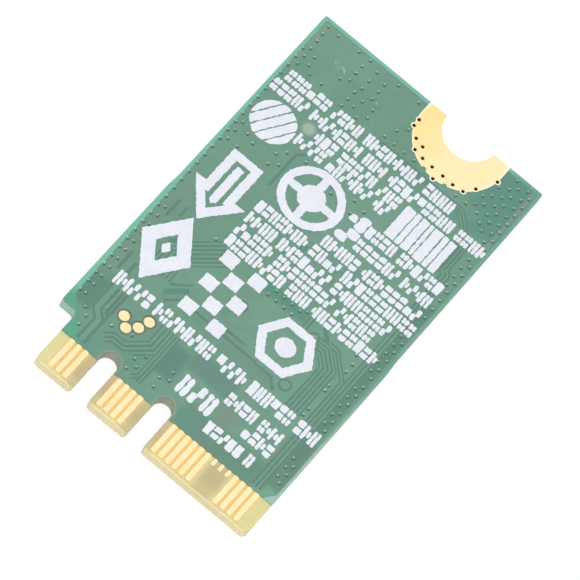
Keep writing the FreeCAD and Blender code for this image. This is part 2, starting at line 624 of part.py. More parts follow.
def crystal():
    """The clock crystal: four pads, a ceramic base and a welded metal lid."""
    cx, cy = region_place(*CRYSTAL_PLACE)
    half_x, half_y = CRYSTAL_SIZE[0] / 2, CRYSTAL_SIZE[1] / 2
    pads = []
    for sx in (-1.0, 1.0):
        for sy in (-1.0, 1.0):
            x, y = cx + sx * (half_x - CRYSTAL_PAD_SIZE[0] / 2), cy + sy * (half_y - CRYSTAL_PAD_SIZE[1] / 2)
            pads.append(hung(rectangle(x - CRYSTAL_PAD_SIZE[0] / 2, y - CRYSTAL_PAD_SIZE[1] / 2,
                                       x + CRYSTAL_PAD_SIZE[0] / 2, y + CRYSTAL_PAD_SIZE[1] / 2),
                             COMPONENT_SEAT, LEAD_THICKNESS))
    save("crystal_pads", group(pads))
    base_seat = COMPONENT_SEAT - LEAD_THICKNESS
    base = rectangle(cx - half_x, cy - half_y, cx + half_x, cy + half_y, CRYSTAL_LID_INSET)
    save("crystal_base", hung(base, base_seat, CRYSTAL_BASE_HEIGHT))
    inset_x, inset_y = half_x - CRYSTAL_LID_INSET, half_y - CRYSTAL_LID_INSET
    lid = rectangle(cx - inset_x, cy - inset_y, cx + inset_x, cy + inset_y, CRYSTAL_LID_INSET)
    save("crystal_lid", hung(lid, base_seat - CRYSTAL_BASE_HEIGHT, CRYSTAL_LID_HEIGHT))


def end_capped(centre, size, height, cap, along_x):
    """A small part's body and its two end caps, which wrap the whole section."""
    cx, cy = centre
    length, width = size
    half_length, half_width = length / 2, width / 2

    def block(start, end, sink):
        low, high = -half_width + sink, half_width - sink
        if along_x:
            face = rectangle(cx + start, cy + low, cx + end, cy + high)
        else:
            face = rectangle(cx + low, cy + start, cx + high, cy + end)
        return hung(face, COMPONENT_SEAT - sink, height - 2 * sink)

    body = block(-half_length + cap, half_length - cap, CAP_SINK)
    caps = [block(-half_length, -half_length + cap, 0.0), block(half_length - cap, half_length, 0.0)]
    return body, caps


def small_parts(kind, size, centres_x, centres_y):
    """One node of bodies and one of end caps for all small parts of a kind."""
    length, width, height, cap = size
    bodies, caps = [], []
    for centres, along_x in ((centres_x, True), (centres_y, False)):
        for centre in centres:
            body, ends = end_capped(centre, (length, width), height, cap, along_x)
            bodies.append(body)
            caps += ends
    save(f"{kind}_bodies", group(bodies))
    save(f"{kind}_end_caps", group(caps))


def single_end_capped(name, place, size, height, cap, cap_name):
    """One larger end-capped part in two nodes."""
    body, caps = end_capped(region_place(*place), size, height, cap, True)
    save(f"{name}_body", body)
    save(f"{name}_{cap_name}", group(caps))


def signal_tab(centre):
    """The flat solder tab of the signal, at the middle of the side of the base that faces the tongue."""
    run, span = SOCKET_TAB
    end = centre[1] - SOCKET_BASE_SIZE / 2
    face = rectangle(centre[0] - span / 2, end, centre[0] + span / 2, end + run)
    return hung(face, COMPONENT_SEAT, SOCKET_TAB_THICKNESS)


def socket_strip(centre, width, thickness):
    """The strip under the socket from its pin to the signal tab, or the slot that lets it through."""
    cx, cy = centre
    face = rectangle(cx - width / 2, cy - SOCKET_BASE_SIZE / 2, cx + width / 2, cy)
    return hung(face, COMPONENT_SEAT, thickness)


def antenna_socket(number, centre):
    """One round snap-on antenna socket: base, lipped ring with ground tabs, and pin with its strip."""
    cx, cy = centre
    half = SOCKET_BASE_SIZE / 2
    bore = hung(disc(cx, cy, SOCKET_RING_RADIUS - SOCKET_RING_WALL), COMPONENT_SEAT, SOCKET_HEIGHT)
    lip_seat = COMPONENT_SEAT - SOCKET_HEIGHT + SOCKET_RING_LIP_HEIGHT
    ring_parts = [hung(disc(cx, cy, SOCKET_RING_RADIUS), COMPONENT_SEAT, SOCKET_HEIGHT),
                  hung(disc(cx, cy, SOCKET_RING_RADIUS + SOCKET_RING_LIP), lip_seat, SOCKET_RING_LIP_HEIGHT),
                  hung(rectangle(cx - half, cy - SOCKET_TAB[1] / 2, cx + half, cy + SOCKET_TAB[1] / 2),
                       COMPONENT_SEAT, SOCKET_TAB_THICKNESS)]
    slot = socket_strip(centre, SOCKET_STRIP_WIDTH + 2 * SOCKET_STRIP_CLEARANCE,
                        SOCKET_TAB_THICKNESS + SOCKET_STRIP_CLEARANCE)
    ring = merged(ring_parts).cut([bore, slot])
    pin = merged([hung(disc(cx, cy, SOCKET_PIN_RADIUS), COMPONENT_SEAT, SOCKET_PIN_HEIGHT),
                  socket_strip(centre, SOCKET_STRIP_WIDTH, SOCKET_TAB_THICKNESS), signal_tab(centre)])
    base_face = rectangle(cx - half, cy - half, cx + half, cy + half, SOCKET_BASE_CORNER)
    base = hung(base_face, COMPONENT_SEAT, SOCKET_BASE_HEIGHT).cut([ring, pin])
    save(f"antenna_socket_{number}_base", base)
    save(f"antenna_socket_{number}_ring", ring)
    save(f"antenna_socket_{number}_pin", pin)


def ink(face):
    """A patch of legend ink: its shape on the drawing, fitted to the board's free area."""
    drawing_top = at(DRAWING_WIDTH / 2, DRAWING_END)
    fitted = face.copy()
    fitted.scale(PRINT_SCALE, drawing_top)
    fitted.translate(at(BOARD_WIDTH / 2, PRINT_END) - drawing_top)
    return plate(fitted, PRINTED_MASK_FACE, INK_THICKNESS)


def word_row(x, y, pattern, height):
    """A row of plain upright blocks in groups, standing in for a printed line."""
    blocks = []
    for mark in pattern:
        if mark == "x":
            blocks.append(ink(rectangle(x, y, x + CELL_WIDTH, y + height)))
            x += CELL_PITCH
        else:
            x += WORD_GAP
    return blocks


def tick_box(x, y):
    """A filled square with a round window."""
    square = ink(rectangle(x, y, x + TICK_BOX_SIZE, y + TICK_BOX_SIZE))
    return square.cut(ink(disc(x + TICK_BOX_SIZE / 2, y + TICK_BOX_SIZE / 2, TICK_BOX_HOLE)))


def striped_disc():
    """A round spot crossed by slanting gaps."""
    cx, cy = STRIPED_DISC_CENTRE
    gaps = []
    for i in range(STRIPE_COUNT):
        offset = (i - (STRIPE_COUNT - 1) / 2) * STRIPE_SPACING
        gap = rectangle(cx + offset - STRIPE_GAP / 2, cy - 2 * STRIPED_DISC_RADIUS,
                        cx + offset + STRIPE_GAP / 2, cy + 2 * STRIPED_DISC_RADIUS)
        gap.rotate(at(cx, cy), FreeCAD.Vector(0, 0, 1), STRIPE_ANGLE - 90.0)
        gaps.append(ink(gap))
    return ink(disc(cx, cy, STRIPED_DISC_RADIUS)).cut(gaps)


def bar_block():
    """A block of upright bars of mixed widths."""
    x, y = BAR_BLOCK_CORNER
    bars = []
    for width in BAR_WIDTHS:
        bars.append(ink(rectangle(x, y, x + width, y + BAR_BLOCK_HEIGHT)))
        x += width + BAR_GAP
    return group(bars)


def target():
    """A registration target: a ring, crossed lines and a round hub."""
    cx, cy = TARGET_CENTRE
    inside = TARGET_RADIUS - TARGET_STROKE
    ring = ink(disc(cx, cy, TARGET_RADIUS)).cut(ink(disc(cx, cy, inside)))
    half = TARGET_STROKE / 2
    reach = TARGET_RADIUS - half
    lines = [ink(rectangle(cx - reach, cy - half, cx + reach, cy + half)),
             ink(rectangle(cx - half, cy - reach, cx + half, cy + reach))]
    return merged([ring, ink(disc(cx, cy, TARGET_HUB_RADIUS))] + lines)


def arrow_face(inset):
    """An arrow that points to the tongue, its outline stepped in by inset."""
    cx = ARROW_CENTRE_X
    head = ARROW_HEAD_WIDTH / 2
    slope = math.atan2(ARROW_HEAD_LENGTH, head)
    tip = ARROW_START + inset / math.cos(slope)
    shoulder = ARROW_START + ARROW_HEAD_LENGTH - inset
    reach = (shoulder - tip) / math.tan(slope)
    shaft = ARROW_SHAFT_WIDTH / 2 - inset
    end = ARROW_END - inset
    return rounded_face([(cx, tip, 0), (cx + reach, shoulder, 0), (cx + shaft, shoulder, 0),
                         (cx + shaft, end, 0), (cx - shaft, end, 0), (cx - shaft, shoulder, 0),
                         (cx - reach, shoulder, 0)])


def arrow():
    """The plug-in direction: an arrow in outline with a solid arrow inside."""
    outline = ink(arrow_face(0.0)).cut(ink(arrow_face(ARROW_STROKE)))
    return group([outline, ink(arrow_face(ARROW_STROKE + ARROW_CORE_GAP))])


def diamond_face(scale):
    """A diamond about the diamond mark's middle, at a share of its full size."""
    cx, cy = DIAMOND_CENTRE
    half_x, half_y = scale * DIAMOND_SIZE[0] / 2, scale * DIAMOND_SIZE[1] / 2
    return rounded_face([(cx, cy - half_y, 0), (cx + half_x, cy, 0),
                         (cx, cy + half_y, 0), (cx - half_x, cy, 0)])


def diamond():
    """A diamond in outline with a small solid one inside."""
    across = DIAMOND_SIZE[0] * DIAMOND_SIZE[1] / math.hypot(*DIAMOND_SIZE)
    inner_scale = 1.0 - 2 * DIAMOND_STROKE / across
    outline = ink(diamond_face(1.0)).cut(ink(diamond_face(inner_scale)))
    return group([outline, ink(diamond_face(DIAMOND_CORE * inner_scale))])


def checker():
    """A checked patch: every other square is filled."""
    x0, y0 = CHECKER_CORNER
    squares = []
    for row in range(CHECKER_ROWS):
        for column in range(CHECKER_COLUMNS):
            if (row + column) % 2 == 0:
                x, y = x0 + column * CHECKER_CELL, y0 + row * CHECKER_CELL
                squares.append(ink(rectangle(x + CHECKER_GAP, y + CHECKER_GAP,
                                             x + CHECKER_CELL - CHECKER_GAP, y + CHECKER_CELL - CHECKER_GAP)))
    return group(squares)


def hexagon_face(radius):
    """A hexagon about the hexagon mark's middle."""
    cx, cy = HEXAGON_CENTRE
    turns = [math.radians(60 * i) for i in range(6)]
    return rounded_face([(cx + radius * math.cos(t), cy + radius * math.sin(t), 0) for t in turns])


def hexagon():
    """A hexagon in outline round a solid spot."""
    inner = HEXAGON_RADIUS - HEXAGON_STROKE / math.cos(math.radians(30))
    outline = ink(hexagon_face(HEXAGON_RADIUS)).cut(ink(hexagon_face(inner)))
    return group([outline, ink(disc(*HEXAGON_CENTRE, HEXAGON_HUB_RADIUS))])


def build_board():
    """The board, its mask sheets, the mounting pads with their vias, the contacts and the test pads."""
    save("board_laminate", board_laminate())
    save("solder_mask_printed_side", solder_mask_printed_side())
    save("solder_mask_component_side", solder_mask_component_side())
    printed_pad = scalloped_pad(PRINTED_FACE, PAD_THICKNESS)
    save("mounting_pad_printed_side", finished_pad(printed_pad, PRINTED_FACE, PAD_THICKNESS))
    save("mounting_pad_component_side", mounting_pad_component_side())
    save("mounting_pad_vias", via_barrels())
    for side, bottom, contacts in (("printed", PRINTED_FACE, PRINTED_CONTACTS),
                                   ("component", COMPONENT_FACE - CONTACT_THICKNESS, COMPONENT_CONTACTS)):
        for span, numbers in contacts.items():
            bars = contact_bars(numbers, bottom, CONTACT_WIDTH, CONTACT_START, CONTACT_END_RADIUS)
            save(f"contacts_{side}_side_{span}", bars)
    save("contact_stubs", contact_bars(STUB_NUMBERS, PRINTED_FACE, STUB_WIDTH, MASK_START - STUB_LENGTH,
                                       STUB_END_RADIUS))
    save("test_pads", test_pads())


def build_component_side():
    """The shield and the parts under it, and the antenna sockets beyond it."""
    save("shield_ground_land", ground_land_ring(GROUND_LAND_THICKNESS))
    save("shield_frame", shield_frame())
    save("shield_lid", shield_lid())
    radio_chip()
    antenna_switch()
    crystal()
    single_end_capped("power_inductor", INDUCTOR_PLACE, INDUCTOR_SIZE, INDUCTOR_HEIGHT, INDUCTOR_TERMINAL,
                      "terminals")
    single_end_capped("radio_filter", FILTER_PLACE, FILTER_SIZE, FILTER_HEIGHT, FILTER_TERMINAL, "terminals")
    small_parts("capacitor", CAPACITOR, [region_place(*place) for place in CAPACITORS_ALONG_X],
                [region_place(*place) for place in CAPACITORS_ALONG_Y])
    small_parts("resistor", RESISTOR, [region_place(*place) for place in RESISTORS_ALONG_X],
                [region_place(*place) for place in RESISTORS_ALONG_Y])
    matching = [(x + side * MATCHING_PART_STEP, SHIELD_END + MATCHING_PART_GAP)
                for x, _ in SOCKET_CENTRES for side in (-1.0, 1.0)]
    small_parts("antenna_matching", MATCHING_PART, matching, [])
    for number, centre in enumerate(SOCKET_CENTRES, start=1):
        antenna_socket(number, centre)


def build_legend():
    """The white print: rows of blocks and plain marks."""
    save("legend_rows_upper", group([block for x, y, pattern in UPPER_ROWS
                                     for block in word_row(x, y, pattern, CELL_HEIGHT)]))
    boxes = [tick_box(x, y) for x, y in TICK_BOXES]
    save("legend_rows_middle", group(boxes + [block for x, y, pattern in MIDDLE_ROWS
                                              for block in word_row(x, y, pattern, CELL_HEIGHT)]))
    save("legend_row_lower", group(word_row(*LOWER_ROW, LOWER_CELL_HEIGHT)))
    width, height = LARGE_CELL_SIZE
    large = [ink(rectangle(x, y, x + width, y + height)) for x, y in LARGE_CELLS]
    save("legend_date_rows", group(large + [block for x, y, pattern in DATE_ROWS
                                            for block in word_row(x, y, pattern, CELL_HEIGHT)]))
    save("legend_striped_disc", striped_disc())
    save("legend_bar_block", bar_block())
    save("legend_target", target())
    save("legend_arrow", arrow())
    save("legend_diamond", diamond())
    save("legend_checker", checker())
    save("legend_hexagon", hexagon())


os.makedirs("parts", exist_ok=True)
build_board()
build_component_side()
build_legend()
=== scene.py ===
"""Looks of a narrow plug-in wireless card that lies on its shield lid, printed side up.

Plan coordinates are millimetres on the printed face: x from the board's left side and y from the
end of its contact tongue.
"""

import json
import logging
import math
import random
from collections.abc import Callable
from dataclasses import dataclass
from dataclasses import field
from enum import Enum
from functools import cache

import bpy
from mathutils import Matrix
from mathutils import Vector

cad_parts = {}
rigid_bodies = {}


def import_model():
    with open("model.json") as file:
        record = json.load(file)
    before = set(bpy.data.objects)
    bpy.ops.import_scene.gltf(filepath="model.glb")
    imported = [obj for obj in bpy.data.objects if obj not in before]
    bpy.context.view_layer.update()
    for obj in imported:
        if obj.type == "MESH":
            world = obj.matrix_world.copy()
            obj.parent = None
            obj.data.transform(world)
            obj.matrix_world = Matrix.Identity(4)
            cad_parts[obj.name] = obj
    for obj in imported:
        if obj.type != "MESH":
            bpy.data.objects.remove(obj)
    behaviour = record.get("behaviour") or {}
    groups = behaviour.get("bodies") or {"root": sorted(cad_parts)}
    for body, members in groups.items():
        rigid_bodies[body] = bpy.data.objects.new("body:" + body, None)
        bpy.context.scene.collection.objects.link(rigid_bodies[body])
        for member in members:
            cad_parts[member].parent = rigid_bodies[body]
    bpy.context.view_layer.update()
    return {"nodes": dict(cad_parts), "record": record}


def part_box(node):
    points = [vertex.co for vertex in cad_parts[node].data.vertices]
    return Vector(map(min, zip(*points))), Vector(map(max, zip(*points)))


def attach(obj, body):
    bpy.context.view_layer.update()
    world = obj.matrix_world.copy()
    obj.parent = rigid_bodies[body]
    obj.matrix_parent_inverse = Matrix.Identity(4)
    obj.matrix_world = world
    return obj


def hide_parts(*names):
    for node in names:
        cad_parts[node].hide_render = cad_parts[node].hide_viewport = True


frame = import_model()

MASK_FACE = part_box("solder_mask_printed_side")[1].z

LOG = logging.getLogger("wireless_card")
MM = 0.001
BODY = "root"
BOARD_WIDTH = 16.4
BOARD_LENGTH = 30.0
# How far the ink's foot lies in the mask, in millimetres.
INK_BITE = 0.002
# Points nearer than this, in metres, are made one, and so are faces that turn by less than this.
SAME_POINT = 1e-7
SAME_PLANE = math.radians(0.5)

Colour = tuple[float, float, float]
Place = tuple[float, float, float]
Point = tuple[float, float]
Socket = bpy.types.NodeSocket
Sockets = bpy.types.bpy_prop_collection
Value = Socket | float
Shade = Socket | Colour
Test = Callable[[bpy.types.bpy_struct], bool] | None


def from_screen(red: float, green: float, blue: float) -> Colour:
    """Turns a colour as a screen shows it into the linear values that a shader takes.

    Args:
        red: Red, from 0 to 255.
        green: Green, from 0 to 255.
        blue: Blue, from 0 to 255.

    Returns:
        The linear red, green and blue.
    """
    def linear(value: float) -> float:
        """Linear value of one channel."""
        share = value / 255.0
        return share / 12.92 if share <= 0.04045 else ((share + 0.055) / 1.055) ** 2.4
    return linear(red), linear(green), linear(blue)


def on_board(x: float, y: float, z: float) -> Vector:
    """Place in the frame, in metres, of a plan point.

    Args:
        x: Millimetres from the board's left side.
        y: Millimetres from the tongue's end.
        z: Height in the frame, in metres.

    Returns:
        The point in the frame.
    """
    return Vector(((x - BOARD_WIDTH / 2) * MM, (y - BOARD_LENGTH / 2) * MM, z))


class Workbench:
    """Short names for the modelling operators."""

    @staticmethod
    def clear() -> None:
        """Leaves edit mode and deselects everything."""
        if bpy.context.mode != "OBJECT":
            bpy.ops.object.mode_set(mode="OBJECT")
        bpy.ops.object.select_all(action="DESELECT")

    @staticmethod
    def take(*pieces: bpy.types.Object) -> None:
        """Selects only these pieces and makes the first one active.

        Args:
            *pieces: The pieces to select.
        """
        Workbench.clear()
        for piece in pieces:
            piece.select_set(True)
        bpy.context.view_layer.objects.active = pieces[0]

    @staticmethod
    def edit(piece: bpy.types.Object, element: str = "VERT") -> None:
        """Opens one piece in edit mode with nothing selected.

        Args:
            piece: The mesh to edit.
            element: VERT, EDGE or FACE.
        """
        Workbench.take(piece)
        bpy.ops.object.mode_set(mode="EDIT")
        bpy.ops.mesh.select_mode(type=element)
        bpy.ops.mesh.select_all(action="DESELECT")

    @staticmethod
    def pick(piece: bpy.types.Object, faces: Test = None, edges: Test = None) -> None:
        """Opens the piece in edit mode with the parts selected that pass a test.

        Args:
            piece: The active mesh.
            faces: Test of a face, or None.
            edges: Test of an edge, or None.
        """
        bpy.ops.object.mode_set(mode="OBJECT")
        if faces:
            for face in piece.data.polygons:
                face.select = faces(face)
        if edges:
            for edge in piece.data.edges:
                edge.select = edges(edge)
        bpy.ops.object.mode_set(mode="EDIT")

    @staticmethod
    def weld(threshold: float = SAME_POINT) -> None:
        """Selects all of the piece that is open in edit mode and merges the points that meet."""
        bpy.ops.mesh.select_all(action="SELECT")
        bpy.ops.mesh.remove_doubles(threshold=threshold)

    @staticmethod
    def dot(place: Place | Vector) -> bpy.types.Object:
        """Adds a mesh of one selected vertex, open in edit mode.

        Args:
            place: Where the vertex and the piece's origin are.

        Returns:
            The new piece.
        """
        Workbench.clear()
        bpy.ops.mesh.primitive_plane_add(size=MM, location=place)
        piece = bpy.context.active_object
        bpy.ops.object.mode_set(mode="EDIT")
        bpy.ops.mesh.select_mode(type="VERT")
        bpy.ops.mesh.select_all(action="SELECT")
        bpy.ops.mesh.merge(type="CENTER")
        return piece

    @staticmethod
    def apply_modifiers(piece: bpy.types.Object) -> None:
        """Applies every modifier of the piece, in order.

        Args:
            piece: The piece to finish.
        """
        Workbench.take(piece)
        for modifier in list(piece.modifiers):
            bpy.ops.object.modifier_apply(modifier=modifier.name)

    @staticmethod
    def settle(piece: bpy.types.Object) -> None:
        """Moves the piece's place, turn and scale into its mesh."""
        Workbench.take(piece)
        bpy.ops.object.transform_apply(location=True, rotation=True, scale=True)

    @staticmethod
    def join(name: str, pieces: list[bpy.types.Object]) -> bpy.types.Object:
        """Joins pieces into one and names it.

        Args:
            name: Name of the joined piece.
            pieces: The meshes to join.

        Returns:
            The joined piece.
        """
        Workbench.take(*pieces)
        if len(pieces) > 1:
            bpy.ops.object.join()
        joined = bpy.context.view_layer.objects.active
        joined.name = name
        joined.data.name = name
        return joined

    @staticmethod
    def copy_of(piece: bpy.types.Object, move: Matrix) -> bpy.types.Object:
        """Copies a piece with its own mesh and moves the mesh.

        Args:
            piece: The piece to copy.
            move: Change of place that goes into the copy's mesh.

        Returns:
            The copy.
        """
        twin = piece.copy()
        twin.data = piece.data.copy()
        twin.data.transform(move)
        bpy.context.collection.objects.link(twin)
        return twin

    @staticmethod
    def plain_normals(piece: bpy.types.Object) -> None:
        """Drops the normals that a copy has kept from its solid.

        Args:
            piece: The copy.
        """
        Workbench.take(piece)
        if piece.data.has_custom_normals:
            bpy.ops.mesh.customdata_custom_splitnormals_clear()

    @staticmethod
    def remove(*pieces: bpy.types.Object) -> None:
        """Deletes pieces that were only patterns for others."""
        for piece in pieces:
            bpy.data.objects.remove(piece, do_unlink=True)


class ShaderGraph:
    """Adds and links nodes in one material or node group."""

    def __init__(self, tree: bpy.types.NodeTree) -> None:
        """Keeps the tree that the nodes go into."""
        self.tree = tree

    def add(self, kind: str, inputs: dict | None = None, **settings: str | bool) -> bpy.types.Node:
        """Adds one node.

        Args:
            kind: The node's type name.
            inputs: Values or sockets by input name or number.
            **settings: Properties of the node.

        Returns:
            The new node.
        """
        node = self.tree.nodes.new(kind)
        for key, value in settings.items():
            setattr(node, key, value)
        for key, value in (inputs or {}).items():
            self.feed(node.inputs[key], value)
        return node

    def feed(self, socket: Socket, value: Value | Shade) -> None:
        """Links a socket to another one, or sets its value.

        Args:
            socket: The input to feed.
            value: Another node's output, a number, a colour or a vector.
        """
        if isinstance(value, Socket):
            self.tree.links.new(value, socket)
        elif isinstance(value, tuple) and len(value) == 3 and socket.type == "RGBA":
            socket.default_value = (*value, 1.0)
        else:
            socket.default_value = value

    def calc(self, operation: str, first: Value, second: Value = 0.0, third: Value = 0.0,
             clamp: bool = False) -> Socket:
        """Adds a Math node.

        Args:
            operation: The node's operation.
            first: First value or socket.
            second: Second value or socket.
            third: Third value or socket.
            clamp: Whether the result is kept between 0 and 1.

        Returns:
            The result's socket.
        """
        node = self.add("ShaderNodeMath", {0: first, 1: second, 2: third}, operation=operation,
                        use_clamp=clamp)
        return node.outputs[0]

    def mix(self, share: Value, low: Shade, high: Shade) -> Socket:
        """Mixes two colours.

        Args:
            share: Share of the second colour, from 0 to 1.
            low: First colour or socket.
            high: Second colour or socket.

        Returns:
            The result's socket.
        """
        node = self.add("ShaderNodeMix", {"Factor": share}, data_type="RGBA")
        self.feed(node.inputs[6], low)
        self.feed(node.inputs[7], high)
        return node.outputs[2]

    def ramp(self, value: Value, start: float, end: float) -> Socket:
        """Turns a value into a share that rises from 0 at start to 1 at end."""
        node = self.add("ShaderNodeMapRange", {"Value": value, "From Min": start, "From Max": end},
                        interpolation_type="SMOOTHSTEP")
        return node.outputs["Result"]

    def reach(self, across: Value, along: Value) -> Socket:
        """Length of a step in the plan, from how far it goes across and along."""
        squares = self.calc("ADD", self.calc("MULTIPLY", across, across),
                            self.calc("MULTIPLY", along, along))
        return self.calc("SQRT", squares)

    def fade(self, outside: Value, softness: Value) -> Socket:
        """Share that falls from 1 at an outline to 0 where the softness ends outside it."""
        left = self.calc("SUBTRACT", 1.0, self.calc("DIVIDE", outside, softness))
        return self.ramp(left, 0.0, 1.0)

    def use(self, group: bpy.types.NodeTree, **inputs: Value) -> Sockets:
        """Places a node group and feeds its inputs.

        Args:
            group: The group to place.
            **inputs: Values by input name, with an underscore for a space.

        Returns:
            The outputs of the placed group.
        """
        node = self.tree.nodes.new("ShaderNodeGroup")
        node.node_tree = group
        for key, value in inputs.items():
            self.feed(node.inputs[key.replace("_", " ").capitalize()], value)
        return node.outputs


class SharedEffects:
    """Node groups that the finishes use, each built once."""

    @staticmethod
    def group(name: str, inputs: tuple[str, ...], outputs: tuple[str, ...]
              ) -> tuple[bpy.types.NodeTree, ShaderGraph, Sockets, bpy.types.Node]:
        """Starts a node group with named number sockets.

        Args:
            name: Name of the group.
            inputs: Names of what goes in.
            outputs: Names of what comes out.

        Returns:
            The group, its graph, the sockets that bring its inputs and its output node.
        """
        tree = bpy.data.node_groups.new(name, "ShaderNodeTree")
        for side, names in (("INPUT", inputs), ("OUTPUT", outputs)):
            for key in names:
                tree.interface.new_socket(name=key, in_out=side, socket_type="NodeSocketFloat")
        graph = ShaderGraph(tree)
        start = graph.add("NodeGroupInput").outputs
        end = graph.add("NodeGroupOutput")
        return tree, graph, start, end

    @staticmethod
    @cache
    def mottle() -> bpy.types.NodeTree:
        """Cloudy share from 0 to 1, made of a broad and a fine noise.

        Returns:
            The group, which takes Broad, Fine and Balance and gives Share.
        """
        tree, graph, start, end = SharedEffects.group("Mottle", ("Broad", "Fine", "Balance"), ("Share",))
        place = graph.add("ShaderNodeTexCoord").outputs["Object"]
        broad = graph.add("ShaderNodeTexNoise", {"Vector": place, "Scale": start["Broad"], "Detail": 2.0})
        fine = graph.add("ShaderNodeTexNoise", {"Vector": place, "Scale": start["Fine"], "Detail": 3.0})
        blend = graph.add("ShaderNodeMix", {"Factor": start["Balance"], "A": broad.outputs["Fac"],
                                            "B": fine.outputs["Fac"]})
        graph.feed(end.inputs["Share"], graph.ramp(blend.outputs["Result"], 0.3, 0.7))
        return tree

    @staticmethod
    @cache
    def grain() -> bpy.types.NodeTree:
        """Fine bump height and a matching share that roughness can follow.

        Returns:
            The group, which takes Pitch and Depth and gives Height and Share.
        """
        tree, graph, start, end = SharedEffects.group("Grain", ("Pitch", "Depth"), ("Height", "Share"))
        place = graph.add("ShaderNodeTexCoord").outputs["Object"]
        noise = graph.add("ShaderNodeTexNoise", {"Vector": place, "Scale": start["Pitch"], "Detail": 4.0,
                                                 "Roughness": 0.6})
        graph.feed(end.inputs["Height"], graph.calc("MULTIPLY", noise.outputs["Fac"], start["Depth"]))
        graph.feed(end.inputs["Share"], noise.outputs["Fac"])
        return tree

    @staticmethod
    @cache
    def plan() -> bpy.types.NodeTree:
        """Plan place in millimetres, worked out from the object's coordinates.

        Returns:
            The group, which takes nothing and gives X, Y and Z.
        """
        tree, graph, start, end = SharedEffects.group("Plan", (), ("X", "Y", "Z"))
        place = graph.add("ShaderNodeTexCoord").outputs["Object"]
        axes = graph.add("ShaderNodeSeparateXYZ", {0: place}).outputs
        scale = 1.0 / MM
        graph.feed(end.inputs["X"], graph.calc("MULTIPLY_ADD", axes["X"], scale, BOARD_WIDTH / 2))
        graph.feed(end.inputs["Y"], graph.calc("MULTIPLY_ADD", axes["Y"], scale, BOARD_LENGTH / 2))
        graph.feed(end.inputs["Z"], graph.calc("MULTIPLY", axes["Z"], scale))
        return tree

    @staticmethod
    @cache
    def field() -> bpy.types.NodeTree:
        """Share that is 1 inside a plan rectangle and fades outside it.

        Returns:
            The group, which takes Middle x and y, Half x and y and Softness and gives Share.
        """
        names = ("Middle x", "Middle y", "Half x", "Half y", "Softness")
        tree, graph, start, end = SharedEffects.group("Field", names, ("Share",))
        plan = graph.use(SharedEffects.plan())
        across = graph.calc("ABSOLUTE", graph.calc("SUBTRACT", plan["X"], start["Middle x"]))
        along = graph.calc("ABSOLUTE", graph.calc("SUBTRACT", plan["Y"], start["Middle y"]))
        outside = graph.calc("MAXIMUM", graph.calc("SUBTRACT", across, start["Half x"]),
                             graph.calc("SUBTRACT", along, start["Half y"]))
        graph.feed(end.inputs["Share"], graph.fade(outside, start["Softness"]))
        return tree

    @staticmethod
    @cache
    def spot() -> bpy.types.NodeTree:
        """Share that is 1 inside a plan circle and fades outside it.

        Returns:
            The group, which takes Middle x and y, Radius and Softness and gives Share.
        """
        names = ("Middle x", "Middle y", "Radius", "Softness")
        tree, graph, start, end = SharedEffects.group("Spot", names, ("Share",))
        plan = graph.use(SharedEffects.plan())
        reach = graph.reach(graph.calc("SUBTRACT", plan["X"], start["Middle x"]),
                            graph.calc("SUBTRACT", plan["Y"], start["Middle y"]))
        outside = graph.calc("SUBTRACT", reach, start["Radius"])
        graph.feed(end.inputs["Share"], graph.fade(outside, start["Softness"]))
        return tree

    @staticmethod
    @cache
    def band() -> bpy.types.NodeTree:
        """Share that is 1 where a value lies between two limits, with soft sides.

        Returns:
            The group, which takes Value, Low, High and Softness and gives Share.
        """
        names = ("Value", "Low", "High", "Softness")
        tree, graph, start, end = SharedEffects.group("Band", names, ("Share",))
        rise = graph.calc("DIVIDE", graph.calc("SUBTRACT", start["Value"], start["Low"]),
                          start["Softness"])
        fall = graph.calc("DIVIDE", graph.calc("SUBTRACT", start["High"], start["Value"]),
                          start["Softness"])
        inside = graph.calc("MINIMUM", rise, fall)
        graph.feed(end.inputs["Share"], graph.calc("ADD", inside, 0.5, clamp=True))
        return tree


@dataclass(frozen=True)
class Finish:
    """A surface finish worked out over the piece's own coordinates, in metres."""

    name: str
    low: Colour
    high: Colour
    roughness: float = 0.5
    roughness_swing: float = 0.06
    metallic: float = 0.0
    gloss: float = 0.5
    broad: float = 300.0
    fine: float = 3000.0
    balance: float = 0.35
    grain_pitch: float = 9000.0
    grain_depth: float = 2.0e-6

    def make(self) -> bpy.types.Material:
        """Builds the material.

        Returns:
            The material, ready to go on a piece.
        """
        material = bpy.data.materials.new(self.name)
        material.use_nodes = True
        material.node_tree.nodes.clear()
        graph = ShaderGraph(material.node_tree)
        surface = graph.add("ShaderNodeBsdfPrincipled")
        out = graph.add("ShaderNodeOutputMaterial")
        graph.feed(out.inputs["Surface"], surface.outputs["BSDF"])
        surface.inputs["Metallic"].default_value = self.metallic
        surface.inputs["Specular IOR Level"].default_value = self.gloss
        self.dress(graph, surface)
        return material

    def colour(self, graph: ShaderGraph) -> Socket:
        """Base colour of the finish."""
        share = graph.use(SharedEffects.mottle(), broad=self.broad, fine=self.fine,
                          balance=self.balance)["Share"]
        return graph.mix(share, self.low, self.high)

    def dress(self, graph: ShaderGraph, surface: bpy.types.Node) -> None:
        """Feeds colour, roughness and bump.

        Args:
            graph: Graph of the material.
            surface: Its Principled node.
        """
        graph.feed(surface.inputs["Base Color"], self.colour(graph))
        grain = graph.use(SharedEffects.grain(), pitch=self.grain_pitch, depth=self.grain_depth)
        rough = graph.add("ShaderNodeMapRange", {"Value": grain["Share"],
                                                 "To Min": self.roughness - self.roughness_swing,
                                                 "To Max": self.roughness + self.roughness_swing})
        graph.feed(surface.inputs["Roughness"], rough.outputs["Result"])
        bump = graph.add("ShaderNodeBump", {"Height": grain["Height"], "Distance": 1.0, "Strength": 1.0})
        graph.feed(surface.inputs["Normal"], bump.outputs["Normal"])


